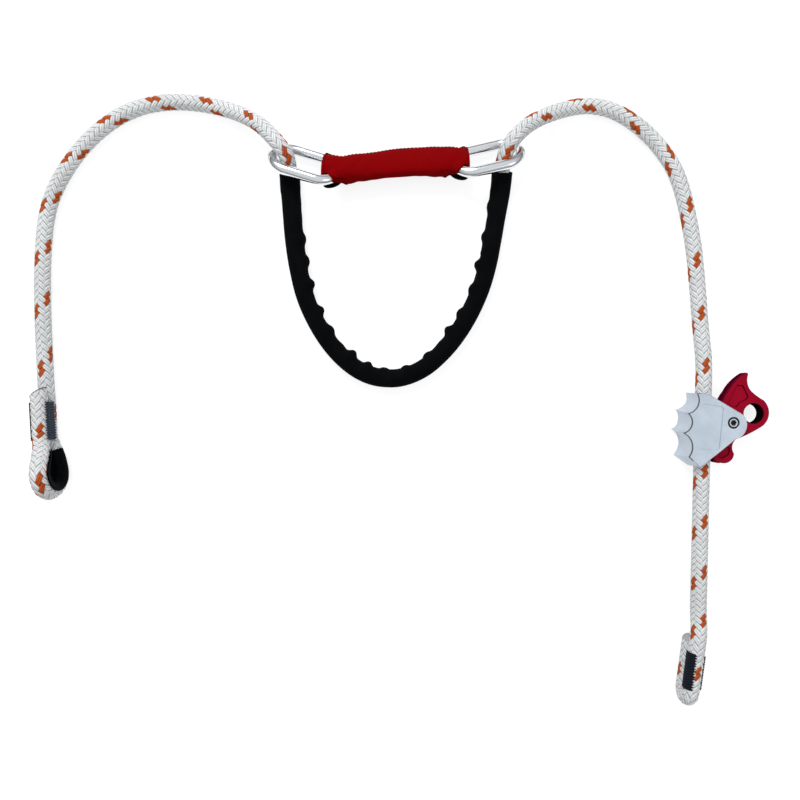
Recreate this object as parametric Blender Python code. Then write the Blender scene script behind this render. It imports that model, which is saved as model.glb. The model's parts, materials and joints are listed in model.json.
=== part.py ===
"""Tree climbing lanyard with a choking bridge and a rope grab, laid out flat on a bench.

One braided rope runs from a sewn eye with a thimble, through an oval ring, through a black
wear sleeve that goes round the trunk, through the second ring and down through a rope grab
to a small sewn stopper eye. A webbing loop in a red sleeve joins the two rings.

Metres, +Z up from the bench, +X along the bridge towards the rope grab. The origin is on the
bench under the middle of the rings, the bridge and the wear sleeve.
"""

import math

import bmesh
import bpy
import numpy as np

MM = 0.001

# Fits and shop values that several pieces share.
GAP = 0.3 * MM
CUT_OVERRUN = 2 * MM
MERGE = 0.001 * MM

# The rope: its thickness, and the room between two strands where they are sewn together.
ROPE_DIAMETER = 13 * MM
STRAND_GAP = 0.4 * MM
STRAND_SPACING = ROPE_DIAMETER + STRAND_GAP
ROPE_LONGEST_STEP = 26 * MM
ROPE_LONGEST_STEP_IN_SLEEVE = 10 * MM
ROPE_TURN_PER_STEP = math.radians(13)
ROPE_END_STEP = 0.5 * MM

# The route of the rope's centre line, in millimetres, from the tail of the left eye to the
# tail of the end eye. Each list goes on where the one before it stops.
LEFT_EYE_ROUTE = [
    (-290.4, -107.0, 19.9), (-289.9, -113.7, 19.9), (-289.3, -124.0, 19.9),
    (-288.7, -135.0, 19.9), (-288.1, -145.2, 19.9), (-286.6, -152.5, 22.4),
    (-284.4, -160.0, 28.4), (-282.6, -166.8, 34.2), (-281.3, -174.5, 36.9),
    (-280.4, -181.6, 34.4), (-279.8, -186.2, 29.0), (-279.4, -187.8, 21.9),
    (-279.1, -186.0, 14.6), (-278.9, -180.8, 8.8), (-279.4, -173.0, 6.6),
    (-281.3, -163.5, 6.5), (-284.8, -154.0, 6.5), (-288.1, -145.2, 6.5),
    (-288.7, -135.0, 6.5), (-289.3, -124.0, 6.5), (-289.9, -113.7, 6.5),
]
LEFT_LEG_ROUTE = [
    (-290.9, -101.0, 6.5), (-292.3, -74.0, 6.5), (-293.3, -51.0, 6.5), (-293.8, -30.0, 6.5),
    (-293.9, -9.0, 6.5), (-293.2, 11.0, 6.5), (-291.4, 31.5, 6.5), (-287.9, 49.0, 6.5),
    (-282.0, 63.9, 6.5), (-274.4, 77.6, 6.5), (-265.3, 90.6, 6.5), (-255.3, 102.0, 6.5),
    (-244.3, 112.0, 6.5), (-232.6, 120.2, 6.5), (-220.4, 126.4, 6.5), (-208.0, 130.6, 6.5),
    (-195.5, 132.8, 6.5), (-182.2, 133.6, 6.5), (-169.8, 133.0, 6.5), (-157.3, 131.2, 6.6),
    (-144.8, 128.0, 7.9), (-132.6, 123.2, 11.0), (-120.9, 116.6, 15.5), (-110.2, 108.8, 20.4),
    (-101.8, 100.2, 23.7), (-94.7, 92.0, 24.6), (-89.4, 84.4, 20.7), (-88.3, 78.1, 14.0),
    (-88.0, 71.8, 9.1),
]
CHOKER_ROUTE = [
    (-88.0, 66.5, 8.3), (-87.8, 60.0, 8.2), (-87.3, 51.7, 8.2), (-86.5, 39.3, 8.2),
    (-84.8, 18.7, 8.2), (-81.4, -4.0, 8.2), (-75.3, -28.5, 8.2), (-65.6, -50.0, 8.2),
    (-54.2, -67.5, 8.2), (-42.6, -80.0, 8.2), (-31.2, -88.4, 8.2), (-19.7, -93.2, 8.2),
    (-9.1, -95.0, 8.2), (1.6, -94.8, 8.2), (12.5, -91.8, 8.2), (23.6, -86.0, 8.2),
    (34.9, -76.4, 8.2), (46.6, -63.0, 8.2), (58.4, -44.5, 8.2), (68.8, -21.8, 8.2),
    (75.0, -1.0, 8.2), (78.6, 17.5, 8.2), (81.6, 35.6, 8.2), (84.3, 51.0, 8.2),
    (85.6, 61.0, 8.2), (86.4, 68.6, 8.3),
]
RIGHT_LEG_ROUTE = [
    (86.8, 74.0, 9.1), (87.5, 80.9, 14.1), (89.0, 87.8, 20.9), (93.7, 95.5, 24.9),
    (100.6, 103.0, 24.2), (108.6, 110.0, 21.0), (118.0, 116.8, 15.9), (128.0, 122.4, 11.2),
    (138.6, 126.8, 7.9), (149.6, 129.6, 6.6), (160.6, 130.4, 6.5), (171.8, 128.9, 6.5),
    (182.8, 124.9, 6.5), (193.6, 118.8, 6.5), (204.0, 110.9, 6.5), (213.6, 101.6, 6.5),
    (222.0, 91.3, 6.5), (229.2, 80.2, 6.5), (234.8, 67.2, 6.5), (239.0, 52.4, 6.5),
    (242.5, 36.4, 6.5), (245.6, 18.9, 6.5), (248.0, -1.0, 6.5), (249.9, -22.4, 6.5),
    (251.2, -43.2, 6.9), (252.2, -62.0, 8.6), (252.6, -78.0, 11.0), (252.5, -90.0, 12.0),
]
GRAB_ROUTE = [
    (252.14, -104.0, 12.2), (251.44, -134.0, 12.2), (250.74, -164.0, 12.2),
    (250.03, -194.0, 12.2), (249.33, -224.0, 12.2), (248.63, -254.0, 12.2),
    (248.0, -281.0, 12.2),
]
END_EYE_ROUTE = [
    (247.6, -288.0, 13.0), (246.8, -296.0, 15.6), (245.5, -303.5, 18.4), (244.1, -311.0, 19.8),
    (242.7, -320.0, 19.9), (241.3, -330.0, 19.9), (239.9, -340.0, 19.9), (238.5, -350.0, 19.9),
]
# There the end eye's rope turns back on itself in half a circle and lies on to its tail.
END_TAIL_LENGTH = 38 * MM
TURN_STEPS = 24

# The sewn stretches of the two eyes, in millimetres: where each starts and ends along the
# rope, on the bench side strand.
LEFT_SEAM_ENDS = [(-289.8, -115.4), (-288.16, -144.2)]
END_SEAM_ENDS = [(242.7, -320.0), (238.85, -347.5)]
SEAM_HALF_HEIGHT = 4.8 * MM
SEAM_FLAT_HALF_HEIGHT = 3.0 * MM
SEAM_EDGE_OUT = 7.0 * MM
SEAM_FACE_OUT = 7.7 * MM
SEAM_ARC_STEPS = 4

# The thimble: a trough of hard rubber that hugs the inner side of the eye's rope.
THIMBLE_HALF_WIDTH = 9.4 * MM
THIMBLE_FLOOR = 2.2 * MM
THIMBLE_LIP_SHARE = 0.1
THIMBLE_SHOULDER_SHARES = [(0.98, 0.32), (0.8, 0.66), (0.45, 0.92)]
THIMBLE_ARC_STEPS = 5
THIMBLE_FROM = (-284.4, -160.0, 28.4)
THIMBLE_TO = (-281.3, -163.5, 6.5)
THIMBLE_STEP = 4 * MM
THIMBLE_FIT = 0.6 * MM

# The black wear sleeve, a woven tube round the rope, gathered in puckers inside the bend.
SLEEVE_BORE = 14.2 * MM
SLEEVE_WALL = 0.95 * MM
SLEEVE_SIDES = 12
SLEEVE_STEP = 7 * MM
PUCKER_HEIGHT = 1.7 * MM
PUCKER_PITCH = 20 * MM
PUCKER_STRETCH_SHARES = (0.2, 0.84)
PUCKER_SHARPNESS = 1.5

# The two forged rings: their wire, their length over the wire, and how they lie.
RING_WIRE = 8.5 * MM
RING_LENGTH = 63 * MM
RING_WIDTH = 39.1 * MM
RING_TILT = math.radians(39.5)
RING_HEIGHT = 15.6 * MM
RING_LEFT_PLACE = (-74.55 * MM, 78.8 * MM)
RING_LEFT_TURN = math.radians(-17)
RING_RIGHT_PLACE = (74.25 * MM, 84.0 * MM)
RING_RIGHT_TURN = math.radians(193)
RING_ARC_STEPS = 12

# The webbing loop that joins the rings: it holds each ring's bend between two angles, and
# its edges draw together on the way to the other ring.
WEBBING_THICKNESS = 1.3 * MM
WEBBING_WRAP_FAR = math.radians(-43)
WEBBING_WRAP_NEAR = math.radians(24)
WEBBING_HALF_WIDTH = 9.6 * MM
WEBBING_LEAD = 14 * MM
WEBBING_CLOSING = 4
WEBBING_WIDTH_STEPS = 7
WEBBING_WRAP_STEPS = 8
WEBBING_RUN_STEPS = 16

# The red sleeve over the webbing, and its flat round section. Its middle line starts from the
# straight line between the two rings' near ends. The shares say how far along it each point
# lies, from the left ring to the right one, and the route how far out of it and how high.
BRIDGE_ALONG_SHARES = (-0.1241, 0.0147, 0.1539, 0.41, 0.6669, 0.8823, 0.9943, 1.1269)
BRIDGE_ROUTE = [
    (7.86, 12.3), (4.48, 12.9), (4.3, 12.6), (6.1, 12.2), (6.29, 12.2), (5.17, 12.6),
    (4.78, 12.9), (6.86, 12.3),
]
BRIDGE_TILT = math.radians(31)
BRIDGE_MOUTH_HALF_WIDTH = 17.2 * MM
BRIDGE_WAIST_HALF_WIDTH = 14.4 * MM
BRIDGE_MOUTH_HALF_DEPTH = 9.8 * MM
BRIDGE_WAIST_HALF_DEPTH = 6.4 * MM
BRIDGE_WALL = 1.1 * MM
BRIDGE_SQUARENESS = 2.5
BRIDGE_STEPS = 20
BRIDGE_SIDES = 28
BRIDGE_NOTCH_DEPTH = 15 * MM
BRIDGE_NOTCH_FROM_SHARE = 0.2
BRIDGE_FLARE_SHARE = 0.42

# The rope grab: a body bent round the rope, and its pivot. Heights are from the bench.
BODY_WIDTH = 51.5 * MM
BODY_LENGTH = 59.5 * MM
BODY_DEPTH = 24.4 * MM
BODY_CHEEK = 4.8 * MM
BODY_EDGE = 0.7 * MM
PIVOT_PLACE = (271.15 * MM, -132.1 * MM)
CHANNEL_CLEARANCE = 0.5 * MM
# Shares of the body's width and length, measured from the pivot.
BODY_OUTLINE_SHARES = [
    [(-0.569, 0.397), (-0.542, 0.272), (-0.711, 0.126)],
    [(-0.711, 0.126), (-0.645, -0.01), (-0.786, -0.139)],
    [(-0.786, -0.139), (-0.641, -0.316), (-0.695, -0.461)],
    [(-0.695, -0.461), (-0.524, -0.603)],
    [(-0.524, -0.603), (-0.245, -0.418), (0.029, -0.224)],
    [(0.029, -0.224), (0.213, -0.02), (0.148, 0.113)],
    [(0.148, 0.113), (-0.315, 0.353)],
    [(-0.315, 0.353), (-0.43, 0.395), (-0.569, 0.397)],
]
OUTLINE_ARC_STEPS = 6
PANEL_DEPTH = 0.5 * MM
PANEL_SHARES = [(-0.49, 0.262), (-0.155, 0.215), (-0.225, -0.366), (-0.58, -0.353)]
PANEL_CORNER = 2.0 * MM

# The cam and what turns it.
CAM_THICKNESS = 11.6 * MM
CAM_WIDTH = 46.2 * MM
CAM_LENGTH = 73.5 * MM
CAM_EDGE = 0.8 * MM
CAM_HUB_RADIUS = 11.7 * MM
CAM_OUTLINE_SHARES = [
    [(0.294, 0.555), (0.322, 0.549), (0.327, 0.524)],
    [(0.327, 0.524), (0.326, 0.42), (0.379, 0.354)],
    [(0.379, 0.354), (0.5, 0.29), (0.606, 0.248)],
    [(0.606, 0.248), (0.7, 0.1), (0.589, -0.037)],
    [(0.589, -0.037), (0.43, -0.097), (0.117, -0.185)],
    [(0.117, -0.185), (0.065, -0.229), (0.082, -0.344)],
    [(0.082, -0.344), (0.02, -0.425), (-0.154, -0.445)],
    [(-0.154, -0.445), (-0.262, -0.432), (-0.288, -0.405)],
    [(-0.288, -0.405), (-0.264, -0.29), (-0.205, -0.125)],
    [(-0.205, -0.125), (-0.245, 0.025), (-0.18, 0.135)],
    [(-0.18, 0.135), (-0.134, 0.238), (-0.035, 0.343)],
    [(-0.035, 0.343), (0.1, 0.46), (0.294, 0.555)],
]
CONNECTOR_HOLE = 15.5 * MM
CONNECTOR_HOLE_SHARES = (0.416, 0.101)
CAM_POCKET_DEPTH = 1.2 * MM
CAM_HORN_POCKET_SHARES = [
    (0.17, 0.415), (0.245, 0.41), (0.3, 0.3), (0.285, 0.262), (0.15, 0.19), (0.0, 0.232),
]
CAM_TOE_POCKET_SHARES = [
    (-0.195, -0.372), (-0.135, -0.29), (-0.02, -0.262), (0.0, -0.325), (-0.07, -0.385),
    (-0.15, -0.4),
]
CAM_POCKET_CORNER = 1.6 * MM
CORNER_STEPS = 4
ROUND_STEPS = 32
SMALL_ROUND_STEPS = 20

BOLT_SHANK = 6.0 * MM
BOLT_HEAD = 8.4 * MM
BOLT_HEAD_HEIGHT = 2.2 * MM
BOLT_HEAD_SINK = 0.3 * MM
BOLT_SOCKET_FLATS = 4.0 * MM
BOLT_SOCKET_DEPTH = 1.5 * MM
BOLT_FIT = 0.6 * MM
BUSH_WALL = 1.2 * MM
BUSH_FIT = 0.6 * MM
WASHER_WIDTH = 2.6 * MM
WASHER_THICKNESS = 0.9 * MM
NUT_FLATS = 9.0 * MM
NUT_HEIGHT = 2.4 * MM
NUT_SINK = 0.4 * MM
SPRING_WIRE = 1.0 * MM
SPRING_RADIUS = 9.3 * MM
SPRING_TURNS = 2.75
SPRING_PITCH = 1.15 * MM
SPRING_STEPS_PER_TURN = 16
SPRING_POCKET_DEPTH = 4.6 * MM
SPRING_POCKET_FIT = 0.45 * MM
SPRING_LEG = 2.4 * MM
SPRING_LEG_HOLE = 1.8 * MM

COLLECTION_NAME = "tree_climbing_lanyard"


def mm(point):
    """A point of a route, in metres."""
    return np.array(point, float) * MM


def unit(vector):
    vector = np.asarray(vector, float)
    return vector / np.linalg.norm(vector)


def smooth_curve(points, per_span=16):
    """Points on a centripetal Catmull-Rom curve through the given points."""
    points = np.asarray(points, float)
    points = np.vstack([2 * points[0] - points[1], points, 2 * points[-1] - points[-2]])
    pieces = []
    for p0, p1, p2, p3 in zip(points[:-3], points[1:-2], points[2:-1], points[3:]):
        t1 = math.sqrt(np.linalg.norm(p1 - p0))
        t2 = t1 + math.sqrt(np.linalg.norm(p2 - p1))
        t3 = t2 + math.sqrt(np.linalg.norm(p3 - p2))
        t = np.linspace(t1, t2, per_span, endpoint=False)[:, None]
        a1 = (t1 - t) / t1 * p0 + t / t1 * p1
        a2 = (t2 - t) / (t2 - t1) * p1 + (t - t1) / (t2 - t1) * p2
        a3 = (t3 - t) / (t3 - t2) * p2 + (t - t2) / (t3 - t2) * p3
        b1 = (t2 - t) / t2 * a1 + t / t2 * a2
        b2 = (t3 - t) / (t3 - t1) * a2 + (t - t1) / (t3 - t1) * a3
        pieces.append((t2 - t) / (t2 - t1) * b1 + (t - t1) / (t2 - t1) * b2)
    return np.vstack(pieces + [points[-2][None, :]])


def lengths_along(curve):
    return np.concatenate([[0], np.cumsum(np.linalg.norm(np.diff(curve, axis=0), axis=1))])


def at_length(curve, wanted):
    """Points at the wanted lengths along a curve."""
    along = lengths_along(curve)
    return np.stack([np.interp(wanted, along, curve[:, k]) for k in range(3)], axis=-1)


def tangents(curve):
    steps = np.gradient(curve, axis=0)
    return steps / np.linalg.norm(steps, axis=1)[:, None]


def thinned(curve, longest, turn):
    """Few points of a curve: one wherever it has gone the longest step or turned enough."""
    along, heading = lengths_along(curve), tangents(curve)
    kept = [0]
    for i in range(1, len(curve) - 1):
        turned = math.acos(min(1, float(heading[i] @ heading[kept[-1]])))
        if along[i] - along[kept[-1]] >= longest or turned >= turn:
            kept.append(i)
    if len(kept) > 1 and along[-1] - along[kept[-1]] < ROPE_DIAMETER / 4:
        kept.pop()
    return curve[kept + [len(curve) - 1]]


def nearest_length(curve, point):
    """How far along a curve the point lies."""
    return lengths_along(curve)[np.linalg.norm(curve - point, axis=1).argmin()]


def stretch(curve, start, end):
    """The part of a curve between two lengths along it."""
    along = lengths_along(curve)
    inside = curve[(along > start + MERGE) & (along < end - MERGE)]
    return np.vstack([at_length(curve, [start]), inside, at_length(curve, [end])])


def material(name, colour, roughness, metallic=0.0):
    made = bpy.data.materials.new(name)
    made.use_nodes = True
    shader = made.node_tree.nodes["Principled BSDF"]
    shader.inputs["Base Color"].default_value = (*colour, 1)
    shader.inputs["Roughness"].default_value = roughness
    shader.inputs["Metallic"].default_value = metallic
    made.diffuse_color = (*colour, 1)
    return made


def add_object(name, data, finish, collection):
    made = bpy.data.objects.new(name, data)
    if finish is not None:
        data.materials.append(finish)
    collection.objects.link(made)
    return made


def mesh_from(points, faces, name):
    """A mesh whose faces point outwards, from its points and faces."""
    mesh = bpy.data.meshes.new(name)
    mesh.from_pydata([tuple(map(float, p)) for p in points], [], faces)
    shaped = bmesh.new()
    shaped.from_mesh(mesh)
    bmesh.ops.recalc_face_normals(shaped, faces=shaped.faces)
    shaped.to_mesh(mesh)
    shaped.free()
    mesh.shade_smooth()
    return mesh


def lofted(rows, name, ring=False):
    """A closed mesh over rows of section points: capped at its ends, or one closed ring."""
    rows = np.asarray(rows, float)
    count, around = rows.shape[:2]
    faces = []
    for i in range(count if ring else count - 1):
        here, there = i * around, (i + 1) % count * around
        for j in range(around):
            k = (j + 1) % around
            faces.append((here + j, here + k, there + k, there + j))
    if not ring:
        faces.append(tuple(range(around)))
        faces.append(tuple((count - 1) * around + j for j in reversed(range(around))))
    return mesh_from(rows.reshape(-1, 3), faces, name)


def poly_curve(name, points, radius, level, closed=False):
    """A curve object's data: a tube of the given radius along the points."""
    data = bpy.data.curves.new(name, "CURVE")
    data.dimensions = "3D"
    data.bevel_depth = radius
    data.bevel_resolution = level
    data.use_fill_caps = True
    spline = data.splines.new("POLY")
    spline.points.add(len(points) - 1)
    for place, point in zip(spline.points, points):
        place.co = (*map(float, point), 1)
    spline.use_cyclic_u = closed
    spline.use_smooth = True
    return data


def mesh_of(obj, finish):
    """The object's evaluated shape as a mesh object in its place, with its caps welded."""
    graph = bpy.context.evaluated_depsgraph_get()
    mesh = bpy.data.meshes.new_from_object(obj.evaluated_get(graph))
    shaped = bmesh.new()
    shaped.from_mesh(mesh)
    bmesh.ops.remove_doubles(shaped, verts=shaped.verts, dist=MERGE)
    bmesh.ops.recalc_face_normals(shaped, faces=shaped.faces)
    shaped.to_mesh(mesh)
    shaped.free()
    made = bpy.data.objects.new(obj.name, mesh)
    made.matrix_world = obj.matrix_world.copy()
    for collection in obj.users_collection:
        collection.objects.link(made)
    name = obj.name
    bpy.data.objects.remove(obj, do_unlink=True)
    made.name = name
    mesh.materials.clear()
    if finish is not None:
        mesh.materials.append(finish)
    return made


def arc_through(start, middle, end, steps):
    """Points on the circle through three points of a plane, from the first to the last."""
    (ax, ay), (bx, by), (cx, cy) = start, middle, end
    across = 2 * (ax * (by - cy) + bx * (cy - ay) + cx * (ay - by))
    a2, b2, c2 = ax * ax + ay * ay, bx * bx + by * by, cx * cx + cy * cy
    ux = (a2 * (by - cy) + b2 * (cy - ay) + c2 * (ay - by)) / across
    uy = (a2 * (cx - bx) + b2 * (ax - cx) + c2 * (bx - ax)) / across
    radius = math.hypot(ax - ux, ay - uy)
    first = math.atan2(ay - uy, ax - ux)
    sweep = math.atan2(cy - uy, cx - ux) - first
    passing = (math.atan2(by - uy, bx - ux) - first) % math.tau
    sweep %= math.tau
    if passing > sweep:
        sweep -= math.tau
    angles = first + sweep * np.linspace(0, 1, steps + 1)
    return np.stack([ux + radius * np.cos(angles), uy + radius * np.sin(angles)], axis=1)


def outline_from(segments, width, length):
    """An outline in metres, from segments of two points (a line) or three (an arc)."""
    pieces = []
    for segment in segments:
        corners = np.array(segment) * (width, length)
        if len(corners) == 3:
            pieces.append(arc_through(*corners, OUTLINE_ARC_STEPS)[:-1])
        else:
            pieces.append(corners[:1])
    return np.vstack(pieces)


def rounded_outline(shares, width, length, radius):
    """An outline with straight sides and round corners."""
    corners = np.array(shares) * (width, length)
    points = []
    for i, corner in enumerate(corners):
        before, after = corners[i - 1], corners[(i + 1) % len(corners)]
        back, on = unit(before - corner), unit(after - corner)
        half = math.acos(float(np.clip(back @ on, -1, 1))) / 2
        centre = corner + unit(back + on) * radius / math.sin(half)
        first, last = corner + back * radius / math.tan(half), corner + on * radius / math.tan(half)
        middle = centre + unit(corner - centre) * radius
        points.append(arc_through(first, middle, last, CORNER_STEPS))
    return np.vstack(points)


def plate(name, outline, low, high, place, finish, collection, edge=0.0):
    """A flat piece between two heights with this outline, its edges chamfered."""
    data = bpy.data.curves.new(name, "CURVE")
    data.dimensions = "2D"
    data.fill_mode = "BOTH"
    data.extrude = (high - low) / 2 - edge
    data.bevel_depth = edge
    data.bevel_resolution = 0
    data.offset = -edge
    spline = data.splines.new("POLY")
    spline.points.add(len(outline) - 1)
    for point, (x, y) in zip(spline.points, outline):
        point.co = (float(x), float(y), 0, 1)
    spline.use_cyclic_u = True
    made = add_object(name, data, None, collection)
    made.location = (*place, (low + high) / 2)
    bpy.context.view_layer.update()
    return mesh_of(made, finish)


def turned(name, profile, steps, place, finish, collection):
    """A turned piece: the profile of radii and heights goes once round the vertical axis."""
    angles = math.tau * np.arange(steps) / steps
    rows = [
        [(radius * math.cos(a), radius * math.sin(a), height) for radius, height in profile]
        for a in angles
    ]
    made = add_object(name, lofted(rows, name, ring=True), finish, collection)
    made.location = place
    made.data.set_sharp_from_angle(angle=math.radians(40))
    return made


def cylinder(name, radius, low, high, place, finish, collection, steps=ROUND_STEPS, turn=0.0):
    """A round or, with few steps, a many-sided solid between two heights."""
    shaped = bmesh.new()
    bmesh.ops.create_cone(
        shaped, cap_ends=True, segments=steps, radius1=radius, radius2=radius, depth=high - low
    )
    mesh = bpy.data.meshes.new(name)
    shaped.to_mesh(mesh)
    shaped.free()
    made = add_object(name, mesh, finish, collection)
    made.location = (*place, (low + high) / 2)
    made.rotation_euler = (0, 0, turn)
    return made


def cut(target, cutters, operation="DIFFERENCE"):
    """Cuts the target with each cutter, or joins them to it."""
    for cutter in cutters:
        modifier = target.modifiers.new(cutter.name, "BOOLEAN")
        modifier.object = cutter
        modifier.operation = operation
        modifier.solver = "EXACT"
        cutter.hide_render = True
        cutter.display_type = "WIRE"


def rope_curve():
    """The whole rope's centre line as one smooth curve, with the end eye's turn and tail."""
    route = (
        LEFT_EYE_ROUTE + LEFT_LEG_ROUTE + CHOKER_ROUTE + RIGHT_LEG_ROUTE + GRAB_ROUTE
        + END_EYE_ROUTE
    )
    curve = smooth_curve([mm(p) for p in route])
    ahead = unit(mm(END_EYE_ROUTE[-1]) - mm(END_EYE_ROUTE[-2]))
    radius = STRAND_SPACING / 2
    middle = curve[-1] - (0, 0, radius)
    angles = math.pi * np.arange(1, TURN_STEPS + 1) / TURN_STEPS
    turn = [middle + radius * (math.sin(a) * ahead + (0, 0, math.cos(a))) for a in angles]
    tail = [turn[-1] - length * ahead for length in np.linspace(0, END_TAIL_LENGTH, TURN_STEPS)]
    return np.vstack([curve, turn, tail[1:]])


def choker_ends(curve):
    """Where the wear sleeve starts and ends along the rope."""
    return nearest_length(curve, mm(CHOKER_ROUTE[0])), nearest_length(curve, mm(CHOKER_ROUTE[-1]))


def build_rope(curve, finish, parts):
    """The rope as three stretches that meet face to face at the wear sleeve's mouths."""
    start, end = choker_ends(curve)
    stretches = {
        "rope_left_leg": (0, start - GAP / 2, ROPE_LONGEST_STEP),
        "rope_in_sleeve": (start + GAP / 2, end - GAP / 2, ROPE_LONGEST_STEP_IN_SLEEVE),
        "rope_right_leg": (end + GAP / 2, lengths_along(curve)[-1], ROPE_LONGEST_STEP),
    }
    for name, (low, high, step) in stretches.items():
        inner = stretch(curve, low + ROPE_END_STEP, high - ROPE_END_STEP)
        points = np.vstack([
            at_length(curve, [low]), thinned(inner, step, ROPE_TURN_PER_STEP),
            at_length(curve, [high]),
        ])
        data = poly_curve(name, points, ROPE_DIAMETER / 2, 4)
        add_object(name, data, finish, parts)


def build_wear_sleeve(curve, finish, parts):
    """The wear sleeve, smooth outside the bend and gathered in round puckers inside it."""
    start, end = choker_ends(curve)
    steps = round((end - start) / SLEEVE_STEP)
    path = at_length(curve, np.linspace(start, end, steps + 1))
    heading = tangents(path)
    share = np.linspace(0, 1, steps + 1)
    low, high = PUCKER_STRETCH_SHARES
    fade = np.clip(np.minimum(share - low, high - share) / (low / 2), 0, 1)
    wave = np.cos(math.tau * (end - start) * share / PUCKER_PITCH)
    gather = PUCKER_HEIGHT * fade * (0.5 + 0.5 * wave) ** PUCKER_SHARPNESS
    middle = path.mean(axis=0)
    rows_out, rows_in = [], []
    for place, ahead, puff in zip(path, heading, gather):
        up = np.array((0.0, 0.0, 1.0))
        side = unit(np.cross(up, ahead))
        if side @ (middle - place) < 0:
            side = -side
        up = unit(np.cross(side, ahead))
        angles = math.tau * np.arange(SLEEVE_SIDES) / SLEEVE_SIDES
        inward = np.clip(np.cos(angles), 0, 1) ** 2
        flat = SLEEVE_BORE / 2 + SLEEVE_WALL + puff * inward
        around = np.cos(angles)[:, None] * side + np.sin(angles)[:, None] * up
        rows_out.append(place + flat[:, None] * around)
        rows_in.append(place + SLEEVE_BORE / 2 * around)
    rows = rows_out + rows_in[::-1]
    add_object("wear_sleeve", lofted(rows, "wear_sleeve", ring=True), finish, parts)


def build_thimble(curve, finish, parts):
    """The thimble: its trough section carried along the eye, always facing the eye's middle."""
    low, high = (nearest_length(curve, mm(p)) for p in (THIMBLE_FROM, THIMBLE_TO))
    steps = round((high - low) / THIMBLE_STEP)
    path = at_length(curve, np.linspace(low, high, steps + 1))
    heading = tangents(path)
    hug = ROPE_DIAMETER / 2 + THIMBLE_FIT
    depth = hug + THIMBLE_FLOOR
    lip = THIMBLE_LIP_SHARE * depth
    outer = [(THIMBLE_HALF_WIDTH, lip)]
    outer += [(a * THIMBLE_HALF_WIDTH, b * depth) for a, b in THIMBLE_SHOULDER_SHARES]
    outer += [(0, depth)]
    outer += [(-a, b) for a, b in reversed(outer[:-1])]
    edge = math.asin(lip / hug)
    angles = np.linspace(math.pi - edge, edge, 2 * THIMBLE_ARC_STEPS + 1)
    section = outer + [(hug * math.cos(a), hug * math.sin(a)) for a in angles]
    middle = (path.min(axis=0) + path.max(axis=0)) / 2
    rows = []
    for place, ahead in zip(path, heading):
        side = unit((1.0, 0.0, 0.0) - ahead * ahead[0])
        inward = np.cross(side, ahead)
        if inward @ (middle - place) < 0:
            inward = -inward
        rows.append([place + a * side + b * inward for a, b in section])
    add_object("eye_thimble", lofted(rows, "eye_thimble"), finish, parts)


def seam_section():
    """One sewn seam's section: it fills the valley between two strands and laps over both."""
    hug = ROPE_DIAMETER / 2 + GAP
    half = STRAND_SPACING / 2
    heights = np.linspace(SEAM_HALF_HEIGHT, -SEAM_HALF_HEIGHT, 2 * SEAM_ARC_STEPS + 1)
    inner = []
    for height in heights:
        off = half - abs(height)
        inner.append((math.sqrt(hug * hug - off * off), height))
    outer = [
        (SEAM_EDGE_OUT, -SEAM_HALF_HEIGHT), (SEAM_FACE_OUT, -SEAM_FLAT_HALF_HEIGHT),
        (SEAM_FACE_OUT, SEAM_FLAT_HALF_HEIGHT), (SEAM_EDGE_OUT, SEAM_HALF_HEIGHT),
    ]
    return inner + outer


def build_seams(ends, names, finish, parts):
    """The two sewn seams of an eye, one on each side of the stacked strands."""
    height = ROPE_DIAMETER / 2 + STRAND_SPACING / 2
    first, last = (np.array((*mm(p), height)) for p in ends)
    ahead = unit(last - first)
    right = np.cross((0.0, 0.0, 1.0), ahead)
    for name, way in zip(names, (1, -1)):
        rows = [
            [place + way * out * right + (0, 0, up) for out, up in seam_section()]
            for place in (first, last)
        ]
        add_object(name, lofted(rows, name), finish, parts)


class Ring:
    """Where one forged ring lies: its middle, its long and wide directions and its normal."""

    def __init__(self, place, turn):
        self.middle = np.array((*place, RING_HEIGHT))
        self.along = np.array((math.cos(turn), math.sin(turn), 0.0))
        level = np.array((-self.along[1], self.along[0], 0.0))
        if level[1] > 0:
            level = -level
        self.across = level * math.cos(RING_TILT) + np.array((0, 0, math.sin(RING_TILT)))
        normal = np.cross(self.along, self.across)
        self.normal = normal if normal[2] > 0 else -normal
        self.radius = (RING_WIDTH - RING_WIRE) / 2
        self.reach = RING_LENGTH / 2 - RING_WIDTH / 2

    def outward(self, angle):
        """The direction from the bend's middle to the wire, from the end towards the near rim."""
        return math.cos(angle) * self.along + math.sin(angle) * self.across

    def bend(self, angle):
        """A point of the wire's centre line in the bend that the webbing holds."""
        return self.middle + self.reach * self.along + self.radius * self.outward(angle)

    def line(self):
        """The wire's centre line."""
        points = []
        for end in (1, -1):
            centre = self.middle + end * self.reach * self.along
            for angle in np.linspace(-math.pi / 2, math.pi / 2, RING_ARC_STEPS + 1):
                points.append(centre + end * self.radius * self.outward(angle))
        return points


def ring_pair():
    return (
        Ring(RING_LEFT_PLACE, RING_LEFT_TURN),
        Ring(RING_RIGHT_PLACE, RING_RIGHT_TURN),
    )


def build_rings(rings, finish, parts):
    """The rings, each with its origin in the middle of the bend it swings about."""
    for name, ring in zip(("ring_left", "ring_right"), rings):
        hinge = ring.middle + ring.reach * ring.along
        points = [point - hinge for point in ring.line()]
        made = add_object(name, poly_curve(name, points, RING_WIRE / 2, 4, True), finish, parts)
        made.location = hinge


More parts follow.
